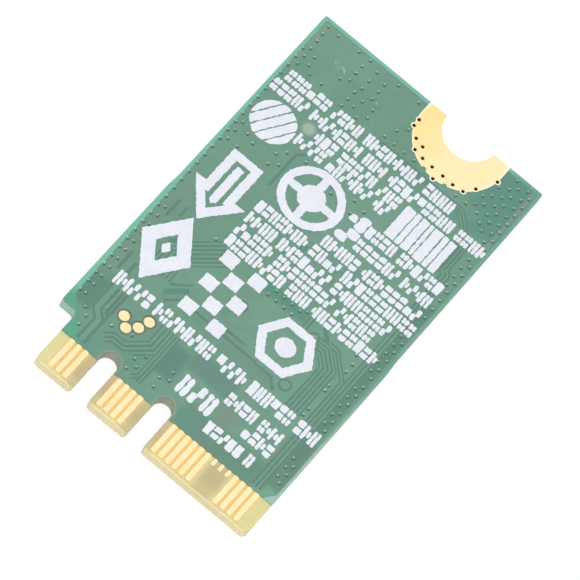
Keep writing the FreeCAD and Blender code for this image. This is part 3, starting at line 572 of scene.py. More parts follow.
@dataclass(frozen=True)
class ToneField:
    """Soft-sided area with a tone of its own, in plan millimetres."""

    middle: Point
    half: Point
    tone: Colour
    strength: float = 0.8
    softness: float = 0.5

    def tint(self, graph: ShaderGraph, base: Socket) -> Socket:
        """Lays the tone over a base colour.

        Args:
            graph: Graph of the material.
            base: The base colour.

        Returns:
            The tinted colour.
        """
        share = graph.use(SharedEffects.field(), middle_x=self.middle[0], middle_y=self.middle[1],
                          half_x=self.half[0], half_y=self.half[1], softness=self.softness)["Share"]
        return graph.mix(graph.calc("MULTIPLY", share, self.strength), base, self.tone)


@dataclass(frozen=True)
class ToneSpot:
    """Soft-sided round area with a tone of its own, in plan millimetres."""

    middle: Point
    radius: float
    tone: Colour
    strength: float = 0.8
    softness: float = 0.3

    def tint(self, graph: ShaderGraph, base: Socket) -> Socket:
        """Lays the tone over a base colour.

        Args:
            graph: Graph of the material.
            base: The base colour.

        Returns:
            The tinted colour.
        """
        share = graph.use(SharedEffects.spot(), middle_x=self.middle[0], middle_y=self.middle[1],
                          radius=self.radius, softness=self.softness)["Share"]
        return graph.mix(graph.calc("MULTIPLY", share, self.strength), base, self.tone)


@dataclass(frozen=True)
class MaskFinish(Finish):
    """Solder mask over copper, paler green where no copper lies under the rim.

    Places are plan millimetres. A pair named rows or columns holds the y or x between which one
    tone turns into the next, and a pair named depth the same below the mask's face.
    """

    rim: Colour = from_screen(106, 178, 155)
    right_rim: Colour = from_screen(144, 182, 166)
    upper_rim: Colour = from_screen(98, 155, 135)
    wedge: Colour = from_screen(72, 153, 122)
    wedge_rows: Point = (5.5, 4.5)
    right_columns: Point = (14.0, 15.0)
    upper_rows: Point = (4.5, 14.0)
    rim_width: float = 0.26
    rim_blur: float = 0.06
    rim_wobble: float = 0.05
    right_shift: float = 0.04
    lower_shift: float = 0.13
    lower_rows: Point = (15.6, 14.8)
    tongue_rim_end: Point = (1.06, 3.75)
    line: Colour = from_screen(74, 132, 110)
    line_limits: Point = (0.01, 0.11)
    line_strength: float = 0.35
    # Darker green in the sunk places over vias: the thicker mask over each hole, and painted shade in the
    # recess.
    thick_mask_and_pit_shade: Colour = from_screen(46, 92, 74)
    pit_shade_depth: Point = (0.006, 0.034)
    board_depth: Point = (0.2, 0.1)
    notch_rim: Colour = from_screen(128, 146, 130)
    notch_rim_reach: Point = (0.2, 0.04)
    notch_strength: float = 0.75
    notches: Point = (4.32, 8.32)
    notch_half: float = 0.6
    notch_centre: float = 2.9
    face: float = MASK_FACE / MM
    fields: tuple[ToneField | ToneSpot, ...] = ()
    # Lines on which the rim ends at the shoulder and at both corners of the tongue's root, each as
    # the shares of x and y and the sum that they make on the line.
    slanted_rim_ends: tuple[Place, ...] = ((0.755, 0.656, 3.403), (0.76, 0.65, 2.922),
                                           (-0.81, 0.587, -11.36))

    def notch_distance(self, graph: ShaderGraph, plan: Sockets) -> Socket:
        """Distance from the nearer key notch.

        Args:
            graph: Graph of the material.
            plan: Outputs of the plan group.

        Returns:
            Socket with the distance in millimetres.
        """
        up = graph.calc("MAXIMUM", graph.calc("SUBTRACT", plan["Y"], self.notch_centre), 0.0)
        first, second = (graph.reach(graph.calc("SUBTRACT", plan["X"], middle), up)
                         for middle in self.notches)
        return graph.calc("SUBTRACT", graph.calc("MINIMUM", first, second), self.notch_half)

    def rim_distance(self, graph: ShaderGraph, plan: Sockets) -> Socket:
        """Distance in from the nearest edge that has no copper beside it.

        Args:
            graph: Graph of the material.
            plan: Outputs of the plan group.

        Returns:
            Socket with the distance in millimetres.
        """
        x = plan["X"]
        y = plan["Y"]
        lower = graph.calc("MULTIPLY", graph.ramp(y, *self.lower_rows), self.lower_shift)
        right = graph.calc("ADD", graph.calc("SUBTRACT", BOARD_WIDTH + self.right_shift, x), lower)
        end = graph.calc("SUBTRACT", BOARD_LENGTH, y)
        side = graph.calc("SUBTRACT", x, self.tongue_rim_end[0])
        above = graph.calc("SUBTRACT", y, self.tongue_rim_end[1] - self.rim_width)
        near = x
        for other in (right, end, graph.calc("MAXIMUM", side, above)):
            near = graph.calc("MINIMUM", near, other)
        for x_share, y_share, total in self.slanted_rim_ends:
            slanted = graph.calc("MULTIPLY_ADD", x, x_share, graph.calc("MULTIPLY", y, y_share))
            inside = graph.calc("SUBTRACT", slanted, total - self.rim_width)
            near = graph.calc("MINIMUM", near, inside)
        return near

    def rim_tone(self, graph: ShaderGraph, plan: Sockets) -> Socket:
        """Tone of the rim, by its place round the board.

        Args:
            graph: Graph of the material.
            plan: Outputs of the plan group.

        Returns:
            Socket with the tone.
        """
        left = graph.mix(graph.ramp(plan["Y"], *self.wedge_rows), self.rim, self.wedge)
        right = graph.mix(graph.ramp(plan["Y"], *self.upper_rows), self.right_rim, self.upper_rim)
        return graph.mix(graph.ramp(plan["X"], *self.right_columns), left, right)

    def colour(self, graph: ShaderGraph) -> Socket:
        """Copper-backed green with its fields, the mint rim, and pits over vias that darken with depth: the
        thicker mask over each hole, and painted shade in the recess.

        Args:
            graph: Graph of the material.

        Returns:
            Socket with the colour.
        """
        base = super().colour(graph)
        for tone_field in self.fields:
            base = tone_field.tint(graph, base)
        plan = graph.use(SharedEffects.plan())
        wobble = graph.use(SharedEffects.mottle(), broad=900.0, fine=4000.0, balance=0.5)["Share"]
        near = graph.calc("MULTIPLY_ADD", wobble, self.rim_wobble, self.rim_distance(graph, plan))
        low, high = (self.rim_width + limit for limit in self.line_limits)
        inner = graph.use(SharedEffects.band(), value=near, low=low, high=high,
                          softness=self.rim_blur)["Share"]
        base = graph.mix(graph.calc("MULTIPLY", inner, self.line_strength), base, self.line)
        share = graph.ramp(near, self.rim_width + self.rim_blur, self.rim_width - self.rim_blur)
        base = graph.mix(share, base, self.rim_tone(graph, plan))
        notch = graph.ramp(self.notch_distance(graph, plan), *self.notch_rim_reach)
        base = graph.mix(graph.calc("MULTIPLY", notch, self.notch_strength), base, self.notch_rim)
        # Painted shade, with the thicker mask: the sunk places over vias darken with depth.
        depth = graph.calc("SUBTRACT", self.face, plan["Z"])
        pit_shade_share = graph.ramp(depth, *self.pit_shade_depth)
        printed_side = graph.ramp(depth, *self.board_depth)
        return graph.mix(graph.calc("MULTIPLY", pit_shade_share, printed_side), base, self.thick_mask_and_pit_shade)


@dataclass(frozen=True)
class LaminateFinish(Finish):
    """Bare glass-epoxy: yellow at the tongue's ends, tan by the notches, green-grey on routed walls.

    A group or band holds the middle and half width of a stretch of the tongue, and a row the
    middle and half height of what is tinted there, all in plan millimetres.
    """

    amber: Colour = from_screen(230, 192, 118)
    tan: Colour = from_screen(187, 169, 125)
    wall: Colour = from_screen(164, 174, 156)
    mint_wall: Colour = from_screen(166, 202, 182)
    # Pale tone of the walls: the cut laminate's paler edge, and painted light that makes up for the light
    # the walls miss.
    edge: Colour = from_screen(240, 227, 180)
    groups: tuple[Point, ...] = ((2.46, 0.58), (6.22, 0.83), (10.72, 1.33), (14.72, 0.83))
    group_row: Point = (1.4, 1.12)
    group_softness: float = 0.16
    tan_bands: tuple[Point, ...] = ((3.62, 0.12), (5.03, 0.1), (7.6, 0.12), (8.98, 0.08), (13.0, 0.3))
    tan_row: Point = (1.9, 0.8)
    tan_strength: float = 0.9
    foot_row: Point = (0.9, 0.7)
    foot_strength: float = 0.7
    tan_softness: float = 0.6
    pale_edge_and_light_strength: float = 0.85
    routed_rows: Point = (2.3, 3.0)
    shoulder_columns: Point = (1.8, 1.3)
    top: float = 2.12
    skin: float = 0.02

    def colour(self, graph: ShaderGraph) -> Socket:
        """Laminate tone by place, with its walls made paler, partly the cut laminate's paler edge and
        partly painted light.

        Args:
            graph: Graph of the material.

        Returns:
            Socket with the colour.
        """
        base = super().colour(graph)
        plan = graph.use(SharedEffects.plan())
        for middle, half in self.tan_bands:
            for row, strength in ((self.tan_row, self.tan_strength), (self.foot_row, self.foot_strength)):
                band = ToneField((middle, row[0]), (half, row[1]), self.tan, strength, self.tan_softness)
                base = band.tint(graph, base)
        flat = graph.ramp(plan["Z"], self.top - self.skin, self.top)
        for middle, half in self.groups:
            band = graph.use(SharedEffects.field(), middle_x=middle, middle_y=self.group_row[0],
                             half_x=half, half_y=self.group_row[1], softness=self.group_softness)
            base = graph.mix(graph.calc("MULTIPLY", band["Share"], flat), base, self.amber)
        # Painted light: the walls are made paler so that they look as lit as the top face; the cut edge is
        # also paler of itself.
        side = graph.calc("MULTIPLY_ADD", flat, -self.pale_edge_and_light_strength, self.pale_edge_and_light_strength)
        base = graph.mix(side, base, self.edge)
        wall = graph.mix(graph.ramp(plan["X"], *self.shoulder_columns), self.wall, self.mint_wall)
        return graph.mix(graph.ramp(plan["Y"], *self.routed_rows), base, wall)


@dataclass(frozen=True)
class ContactFinish(Finish):
    """Gold of the edge contacts, deeper in tone down their long sides: the plating's orange edge, and
    painted shade that leaves a painted highlight down each middle.
    """

    # Deeper gold of the long sides: the plating's orange edge, and painted shade that leaves the middle as
    # a painted highlight.
    side: Colour = from_screen(246, 206, 130)
    edge_tint_and_shade_shares: Point = (0.2, 0.37)
    first: float = 1.97
    pitch: float = 0.5

    def colour(self, graph: ShaderGraph) -> Socket:
        """Gold that deepens away from each contact's middle line, partly as painted shade beside a painted
        highlight.

        Args:
            graph: Graph of the material.

        Returns:
            Socket with the colour.
        """
        base = super().colour(graph)
        plan = graph.use(SharedEffects.plan())
        turns = graph.calc("DIVIDE", graph.calc("SUBTRACT", plan["X"], self.first), self.pitch)
        off = graph.calc("ABSOLUTE", graph.calc("SUBTRACT", turns, graph.calc("ROUND", turns)))
        return graph.mix(graph.ramp(off, *self.edge_tint_and_shade_shares), base, self.side)


@dataclass(frozen=True)
class PadFinish(Finish):
    """Gold of the mounting pad, warmer towards its left and paler along its rim, partly a painted highlight
    on the pad's edge.
    """

    # Pale cream along the pad's rim: the mask's edge on the gold, and a painted highlight along it.
    rim: Colour = from_screen(255, 246, 222)
    warm: Colour = from_screen(248, 226, 156)
    warm_columns: Point = (13.0, 8.5)
    warm_drift: float = 2.4
    middle: Point = (10.93, 29.05)
    rim_radius: float = 2.95
    rim_blur: float = 0.03

    def colour(self, graph: ShaderGraph) -> Socket:
        """Gold with its warm side and a pale rim that is partly painted highlight.

        Args:
            graph: Graph of the material.

        Returns:
            Socket with the colour.
        """
        base = super().colour(graph)
        plan = graph.use(SharedEffects.plan())
        cloud = graph.use(SharedEffects.mottle(), broad=260.0, fine=1500.0, balance=0.3)["Share"]
        drifted = graph.calc("MULTIPLY_ADD", cloud, self.warm_drift, plan["X"])
        base = graph.mix(graph.ramp(drifted, *self.warm_columns), base, self.warm)
        reach = graph.reach(graph.calc("SUBTRACT", plan["X"], self.middle[0]),
                            graph.calc("SUBTRACT", plan["Y"], self.middle[1]))
        # Pale rim, partly painted highlight.
        rim = graph.ramp(reach, self.rim_radius - self.rim_blur, self.rim_radius + self.rim_blur)
        return graph.mix(rim, base, self.rim)


@dataclass(frozen=True)
class BarrelFinish(Finish):
    """Via barrels: gold at the mouths, darkened inside by painted shade."""

    # Painted shade inside the barrel, which is plated like its mouth.
    inside: Colour = from_screen(30, 18, 8)
    mouth: float = 2.124
    mouth_depth: float = 0.02

    def colour(self, graph: ShaderGraph) -> Socket:
        """Gold that turns dark below the mouth: painted shade down the hole.

        Args:
            graph: Graph of the material.

        Returns:
            Socket with the colour.
        """
        base = super().colour(graph)
        plan = graph.use(SharedEffects.plan())
        barrel_shade_share = graph.ramp(plan["Z"], self.mouth, self.mouth - self.mouth_depth)
        return graph.mix(barrel_shade_share, base, self.inside)


@dataclass(frozen=True)
class BrushedFinish(Finish):
    """Rolled sheet metal, with faint lines along the card."""

    lines: Place = (9000.0, 350.0, 9000.0)

    def colour(self, graph: ShaderGraph) -> Socket:
        """Metal tone that follows the rolled lines.

        Args:
            graph: Graph of the material.

        Returns:
            Socket with the colour.
        """
        place = graph.add("ShaderNodeTexCoord").outputs["Object"]
        drawn = graph.add("ShaderNodeVectorMath", {0: place, 1: self.lines}, operation="MULTIPLY")
        noise = graph.add("ShaderNodeTexNoise", {"Vector": drawn.outputs[0], "Scale": 1.0, "Detail": 3.0})
        return graph.mix(graph.ramp(noise.outputs["Fac"], 0.25, 0.75), self.low, self.high)


TEST_PADS = ((3.16, 5.76), (3.68, 5.22), (4.21, 5.75), (4.46, 6.48))
MASK_FIELDS = (
    ToneField((15.3, 27.6), (1.5, 2.2), from_screen(70, 131, 115), 0.95, 1.0),
    ToneField((12.6, 25.9), (1.6, 0.2), from_screen(98, 142, 124), 0.6, 0.6),
    ToneField((4.5, 26.6), (0.7, 0.8), from_screen(84, 136, 118), 0.6, 0.9),
    ToneField((1.2, 26.5), (0.3, 0.5), from_screen(90, 136, 122), 0.6, 0.6),
    ToneField((9.3, 13.3), (1.5, 0.25), from_screen(66, 130, 107), 0.9, 0.35),
    ToneField((6.9, 5.4), (0.42, 0.85), from_screen(68, 119, 108), 0.85, 0.6),
    ToneField((9.2, 6.5), (1.3, 0.5), from_screen(80, 124, 112), 0.8, 0.4),
    ToneField((10.0, 8.4), (1.6, 0.35), from_screen(92, 132, 116), 0.7, 0.4),
    ToneField((12.0, 3.2), (2.4, 0.6), from_screen(81, 124, 107), 0.8, 0.8),
    ToneField((5.3, 3.9), (0.35, 0.5), from_screen(80, 136, 116), 0.8, 0.4),
    ToneField((0.7, 6.0), (0.5, 1.2), from_screen(64, 118, 99), 0.8, 0.5),
    ToneField((0.75, 11.0), (0.3, 4.0), from_screen(98, 136, 116), 0.6, 0.4),
    ToneField((15.8, 12.0), (0.2, 7.0), from_screen(66, 118, 100), 0.85, 0.3),
    ToneField((15.6, 5.0), (0.6, 1.8), from_screen(78, 119, 99), 0.75, 0.5),
    ToneField((16.0, 27.0), (0.06, 2.6), from_screen(122, 140, 124), 0.7, 0.12),
    ToneField((0.36, 27.8), (0.05, 1.9), from_screen(122, 142, 126), 0.6, 0.12),
    ToneField((4.55, 21.0), (0.15, 2.6), from_screen(94, 138, 120), 0.6, 0.4),
    ToneField((2.9, 3.2), (0.3, 0.6), from_screen(84, 136, 118), 0.8, 0.35),
    ToneField((9.6, 3.0), (0.6, 0.3), from_screen(76, 132, 112), 0.6, 0.5),
    ToneField((16.1, 2.75), (0.35, 0.35), from_screen(92, 158, 132), 0.8, 0.35),
    ToneSpot((3.73, 23.2), 0.25, from_screen(156, 172, 163), 0.9, 0.3),
    ToneSpot((11.3, 4.95), 0.3, from_screen(106, 132, 118), 0.9, 0.75),
    # Dark ring round each test pad: painted shadow in the step of the mask's clearance.
    *(ToneSpot(pad, 0.4, from_screen(82, 84, 54), 0.9, 0.08) for pad in TEST_PADS),
    ToneSpot((5.65, 27.5), 0.02, from_screen(150, 186, 166), 0.8, 0.08),
)


class Finishes:
    """The card's finishes, each made into a material once."""

    catalogue: dict[str, Finish] = {
        "solder_mask": MaskFinish("solder_mask", from_screen(88, 136, 113), from_screen(100, 146, 124),
                                  roughness=0.32, gloss=0.7, broad=180.0, fine=1800.0,
                                  fields=MASK_FIELDS),
        "mask_over_laminate": Finish("mask_over_laminate", from_screen(78, 120, 104),
                                     from_screen(86, 128, 112), roughness=0.32),
        "mask_over_track": Finish("mask_over_track", from_screen(98, 143, 122),
                                  from_screen(106, 149, 129), roughness=0.32),
        "teal_ground": Finish("teal_ground", from_screen(66, 122, 110), from_screen(78, 134, 120),
                              roughness=0.32),
        "scuff": Finish("scuff", from_screen(146, 184, 164), from_screen(176, 204, 190), roughness=0.6),
        "laminate": LaminateFinish("laminate", from_screen(211, 201, 138), from_screen(219, 210, 152),
                                   roughness=0.6),
        "gold": Finish("gold", from_screen(248, 228, 176), from_screen(253, 234, 188), roughness=0.27,
                       metallic=1.0, broad=400.0, fine=5000.0),
        "contact_gold": ContactFinish("contact_gold", from_screen(246, 226, 174),
                                      from_screen(252, 234, 190), roughness=0.27, metallic=1.0,
                                      broad=700.0, fine=5000.0),
        "pad_gold": PadFinish("pad_gold", from_screen(250, 232, 180), from_screen(254, 237, 191),
                              roughness=0.27, metallic=1.0, broad=400.0, fine=5000.0),
        "via_barrel": BarrelFinish("via_barrel", from_screen(176, 122, 62), from_screen(200, 148, 84),
                                   roughness=0.5),
        "legend_ink": Finish("legend_ink", from_screen(220, 223, 233), from_screen(230, 233, 242),
                             roughness=0.75, broad=900.0, fine=7000.0, balance=0.6),
        "shield_metal": BrushedFinish("shield_metal", from_screen(180, 178, 171),
                                      from_screen(192, 190, 184), roughness=0.34, metallic=1.0),
        "moulding": Finish("moulding", from_screen(38, 38, 40), from_screen(50, 50, 52), roughness=0.55),
        "solder_plating": Finish("solder_plating", from_screen(205, 205, 208),
                                 from_screen(222, 222, 224), roughness=0.3, metallic=1.0),
        "crystal_ceramic": Finish("crystal_ceramic", from_screen(78, 70, 62), from_screen(92, 84, 74)),
        "inductor_ferrite": Finish("inductor_ferrite", from_screen(74, 74, 78), from_screen(92, 92, 96),
                                   roughness=0.7),
        "filter_ceramic": Finish("filter_ceramic", from_screen(214, 216, 218),
                                 from_screen(230, 232, 234), roughness=0.4),
        "capacitor_ceramic": Finish("capacitor_ceramic", from_screen(150, 118, 86),
                                    from_screen(172, 138, 102), roughness=0.45),
        "socket_plastic": Finish("socket_plastic", from_screen(226, 220, 198),
                                 from_screen(236, 231, 212), roughness=0.5),
    }
    made: dict[str, bpy.types.Material] = {}

    @classmethod
    def get(cls, name: str) -> bpy.types.Material:
        """Material of a finish, made when it is first asked for.

        Args:
            name: Name of the finish.

        Returns:
            The material.
        """
        if name not in cls.made:
            cls.made[name] = cls.catalogue[name].make()
        return cls.made[name]

    @classmethod
    def put(cls, piece: bpy.types.Object, name: str) -> None:
        """Gives a whole piece one finish."""
        piece.data.materials.clear()
        piece.data.materials.append(cls.get(name))


def mount(piece: bpy.types.Object, finish: str, slot: str, *nodes: str) -> None:
    """Dresses a new piece and fixes it to the card.

    Args:
        piece: The finished mesh.
        finish: Name of its finish.
        slot: Material slot that it belongs to; not used.
        *nodes: Solids that it stands for.
    """
    Finishes.put(piece, finish)
    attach(piece, BODY)
    if nodes:
        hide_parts(*nodes)
    LOG.info("%s: %d faces", piece.name, len(piece.data.polygons))


@dataclass
class CarriedSolids:
    """The card's own solids, which keep their shape and get their finish."""

    dressed: int = 0
    own_finish: dict[str, str] = field(default_factory=lambda: {
        "mounting_pad_printed_side": "pad_gold", "mounting_pad_component_side": "pad_gold",
        "mounting_pad_vias": "via_barrel"})

    def finish_of(self, node: str, slot: str) -> str:
        """Chooses the finish of a node.

        Args:
            node: Name of the node.
            slot: Its material slot in the record.

        Returns:
            Name of the finish.
        """
        if node.startswith("contact"):
            return "contact_gold"
        return self.own_finish.get(node, slot)

    def dress(self) -> None:
        """Gives each solid the finish of its material slot, or its own one."""
        slots = {part["node"]: part["material_slot"] for part in frame["record"]["subparts"]}
        for node, piece in frame["nodes"].items():
            material = Finishes.get(self.finish_of(node, slots[node]))
            if not piece.data.materials:
                piece.data.materials.append(material)
            for index in range(len(piece.material_slots)):
                piece.material_slots[index].material = material
            self.dressed += 1
        LOG.info("carried solids: %d", self.dressed)


class Pattern(Enum):
    """What a print cell holds, as rectangles in shares of the cell: left, bottom, right, top."""

    FULL = ((0.0, 0.0, 1.0, 1.0),)
    PAIR = ((0.0, 0.0, 0.38, 1.0), (0.62, 0.0, 1.0, 1.0))
    STACK = ((0.0, 0.0, 1.0, 0.42), (0.0, 0.58, 1.0, 1.0))
    FOUR = ((0.0, 0.0, 0.4, 0.42), (0.6, 0.0, 1.0, 0.42), (0.0, 0.58, 0.4, 1.0), (0.6, 0.58, 1.0, 1.0))
    OPPOSITE = ((0.0, 0.0, 0.52, 0.5), (0.48, 0.5, 1.0, 1.0))
    TAB = ((0.0, 0.0, 0.42, 1.0), (0.66, 0.28, 1.0, 0.72))
    LOW = ((0.0, 0.0, 1.0, 0.62),)


@dataclass
class InkPrint:
    """White ink of the card's print, with lumpy edges.

    The foot and top are metres and other lengths millimetres. The weights say how often each
    pattern comes, in the order of Pattern, and each pattern has a few masters with lumps of their own.
    """

    foot: float
    top: float
    lump_pitch: float = 0.14
    lump: float = 0.035
    lump_shares: Point = (-0.6, 1.0)
    spread: float = 0.02
    cut_corner: float = 0.05
    facing_up: float = 0.9
    weights: tuple[int, ...] = (2, 5, 4, 4, 3, 5, 1)
    masters_each: int = 2
    seed: int = 11
    row_nodes: tuple[str, ...] = ("legend_rows_upper", "legend_rows_middle", "legend_row_lower",
                                  "legend_date_rows")
    mark_nodes: tuple[str, ...] = ("legend_arrow", "legend_bar_block", "legend_checker",
                                   "legend_diamond", "legend_hexagon", "legend_striped_disc",
                                   "legend_target")
    dice: random.Random = field(init=False)

    def __post_init__(self) -> None:
        """Starts the seeded dice."""
        self.dice = random.Random(self.seed)

    def islands(self, piece: bpy.types.Object) -> list[tuple[Vector, Vector]]:
        """Lowest and highest corner of each separate solid of a node, worked out on a copy.

        Args:
            piece: The node's object.

        Returns:
            The corners, from the far end to the near end and from left to right.
        """
        twin = Workbench.copy_of(piece, Matrix.Identity(4))
        Workbench.edit(twin)
        Workbench.weld()
        bpy.ops.mesh.separate(type="LOOSE")
        bpy.ops.object.mode_set(mode="OBJECT")
        found = []
        loose = list(bpy.context.selected_objects)
        for part in loose:
            spots = [vertex.co for vertex in part.data.vertices]
            found.append((Vector(map(min, zip(*spots))), Vector(map(max, zip(*spots)))))
        Workbench.remove(*loose)
        return sorted(found, key=lambda box: (-round(box[0].y, 5), box[0].x))

    def flat_from(self, piece: bpy.types.Object) -> bpy.types.Object:
        """Top face of a solid as a flat sheet with few corners.

        Args:
            piece: The solid, which stays as it is.

        Returns:
            The sheet.
        """
        twin = Workbench.copy_of(piece, Matrix.Identity(4))
        Workbench.plain_normals(twin)
        Workbench.edit(twin, "FACE")
        Workbench.weld()
        Workbench.pick(twin, faces=lambda face: face.normal.z < self.facing_up)
        bpy.ops.mesh.delete(type="FACE")
        bpy.ops.mesh.select_all(action="SELECT")
        bpy.ops.mesh.dissolve_limited(angle_limit=SAME_PLANE)
        bpy.ops.object.mode_set(mode="OBJECT")
        return twin

    def bare_outline(self) -> None:
        """Leaves only the outline edges of the flat sheet that is open in edit mode."""
        bpy.ops.mesh.select_mode(type="EDGE")
        bpy.ops.mesh.select_all(action="DESELECT")
        bpy.ops.mesh.select_non_manifold(extend=False)
        bpy.ops.mesh.select_all(action="INVERT")
        bpy.ops.mesh.delete(type="EDGE")
        bpy.ops.mesh.select_all(action="SELECT")
        bpy.ops.mesh.delete(type="ONLY_FACE")

    def roughen(self, sheet: bpy.types.Object) -> None:
        """Cuts the outline of a flat sheet into short edges and moves them in lumps.

        Args:
            sheet: A flat sheet that faces up.
        """
        Workbench.edit(sheet, "EDGE")
        self.bare_outline()
        bpy.ops.object.mode_set(mode="OBJECT")
        by_cuts: dict[int, set[tuple[int, int]]] = {}
        for edge in sheet.data.edges:
            first, second = (sheet.data.vertices[index].co for index in edge.vertices)
            cuts = round((first - second).length / (self.lump_pitch * MM)) - 1
            if cuts > 0:
                by_cuts.setdefault(cuts, set()).add(tuple(sorted(edge.vertices)))
        for cuts, wanted in by_cuts.items():
            Workbench.pick(sheet, edges=lambda edge: tuple(sorted(edge.vertices)) in wanted)
            bpy.ops.mesh.subdivide(number_cuts=cuts)
        bpy.ops.object.mode_set(mode="EDIT")
        bpy.ops.mesh.select_all(action="SELECT")
        bpy.ops.mesh.fill(use_beauty=False)
        bpy.ops.object.mode_set(mode="OBJECT")
        outward = self.outward(sheet)
        for vertex in sheet.data.vertices:
            if vertex.index in outward:
                push = self.spread + self.dice.uniform(*self.lump_shares) * self.lump
                vertex.co += outward[vertex.index] * push * MM
        bpy.ops.object.mode_set(mode="EDIT")
        self.bare_outline()
        bpy.ops.mesh.select_all(action="SELECT")
        bpy.ops.mesh.fill(use_beauty=False)
        bpy.ops.mesh.select_mode(type="FACE")
        Workbench.pick(sheet, faces=lambda face: face.normal.z < 0.0)
        bpy.ops.mesh.flip_normals()
        bpy.ops.object.mode_set(mode="OBJECT")

    def outward(self, sheet: bpy.types.Object) -> dict[int, Vector]:
        """Direction away from the sheet at each vertex of its outline.

        Args:
            sheet: A flat sheet that faces up.

        Returns:
            Unit directions by vertex number.
        """
        seen: dict[tuple[int, int], int] = {}
        for face in sheet.data.polygons:
            for key in face.edge_keys:
                seen[key] = seen.get(key, 0) + 1
        out: dict[int, Vector] = {}
        for face in sheet.data.polygons:
            ring = list(face.vertices)
            if face.normal.z < 0.0:
                ring.reverse()
            for first, second in zip(ring, ring[1:] + ring[:1]):
                if seen[tuple(sorted((first, second)))] != 1:
                    continue
                along = sheet.data.vertices[second].co - sheet.data.vertices[first].co
                side = Vector((along.y, -along.x, 0.0)).normalized()
                for index in (first, second):
                    out[index] = out.get(index, Vector()) + side
        return {index: side.normalized() for index, side in out.items()}

    def thicken(self, sheet: bpy.types.Object) -> None:
        """Gives a flat sheet the ink's thickness, down from its top face.

        Args:
            sheet: A flat sheet that faces up.
        """
        for vertex in sheet.data.vertices:
            vertex.co.z = self.top
        solid = sheet.modifiers.new("thickness", "SOLIDIFY")
        solid.thickness = self.top - self.foot
        solid.offset = -1.0
        Workbench.apply_modifiers(sheet)

    def cell(self, pattern: Pattern, width: float, height: float) -> bpy.types.Object:
        """Flat sheets of one pattern, with the cell's corner at the origin.

        Args:
            pattern: What the cell holds.
            width: Width of the cell, in metres.
            height: Height of the cell, in metres.

        Returns:
            One piece with the pattern's sheets.
        """
        sheets = []
        for left, bottom, right, top in pattern.value:
            Workbench.clear()
            middle = ((left + right) / 2 * width, (bottom + top) / 2 * height, 0.0)
            bpy.ops.mesh.primitive_plane_add(size=1.0, location=middle)
            sheet = bpy.context.active_object
            bpy.ops.object.mode_set(mode="EDIT")
            bpy.ops.transform.resize(value=((right - left) * width, (top - bottom) * height, 1.0))
            bpy.ops.mesh.bevel(offset=self.cut_corner * MM, segments=1, affect="VERTICES")
            bpy.ops.object.mode_set(mode="OBJECT")
            Workbench.settle(sheet)
            sheets.append(sheet)
        whole = Workbench.join(pattern.name.lower(), sheets)
        self.roughen(whole)
        self.thicken(whole)
        return whole

    def print_rows(self, node: str) -> bpy.types.Object:
        """Prints the rows of one node, a rough pattern in each of its cells.

        Args:
            node: Name of the rows' node.

        Returns:
            The printed rows as one piece.
        """
        boxes = self.islands(frame["nodes"][node])
        low, high = boxes[len(boxes) // 2]
        width = high.x - low.x
        height = high.y - low.y
        each = range(self.masters_each)
        masters = [self.cell(pattern, width, height) for pattern in Pattern for _ in each]
        weights = [weight for weight in self.weights for _ in each]
        half_turn = Matrix.Translation((width, height, 0.0)) @ Matrix.Rotation(math.pi, 4, "Z")
        printed = []
        for low, high in boxes:
            master = self.dice.choices(masters, weights)[0]
            size = Matrix.Diagonal(((high.x - low.x) / width, (high.y - low.y) / height, 1.0, 1.0))
            turn = half_turn if self.dice.random() < 0.5 else Matrix.Identity(4)
            printed.append(Workbench.copy_of(master, Matrix.Translation((low.x, low.y, 0.0)) @ size @ turn))
        Workbench.remove(*masters)
        return Workbench.join(node.replace("legend", "printed"), printed)

    def print_mark(self, node: str) -> bpy.types.Object:
        """Prints one large mark over its node's outline.

        Args:
            node: Name of the mark's node.

        Returns:
            The printed mark.
        """
        sheet = self.flat_from(frame["nodes"][node])
        self.roughen(sheet)
        self.thicken(sheet)
        return Workbench.join(node.replace("legend", "printed"), [sheet])

    def build(self) -> None:
        """Prints every row and mark."""
        for node in self.row_nodes:
            mount(self.print_rows(node), "legend_ink", "legend_ink", node)
        for node in self.mark_nodes:
            mount(self.print_mark(node), "legend_ink", "legend_ink", node)


@dataclass(frozen=True)
class Run:
    """Tracks side by side on one route: lines of one width at a pitch, with cleared margins.

    All lengths are plan millimetres. A width under TrackWork.least_track leaves cleared ground only.
    """

    route: tuple[Point, ...]
    lines: int = 1
    pitch: float = 0.25
    width: float = 0.12
    margin: float = 0.13


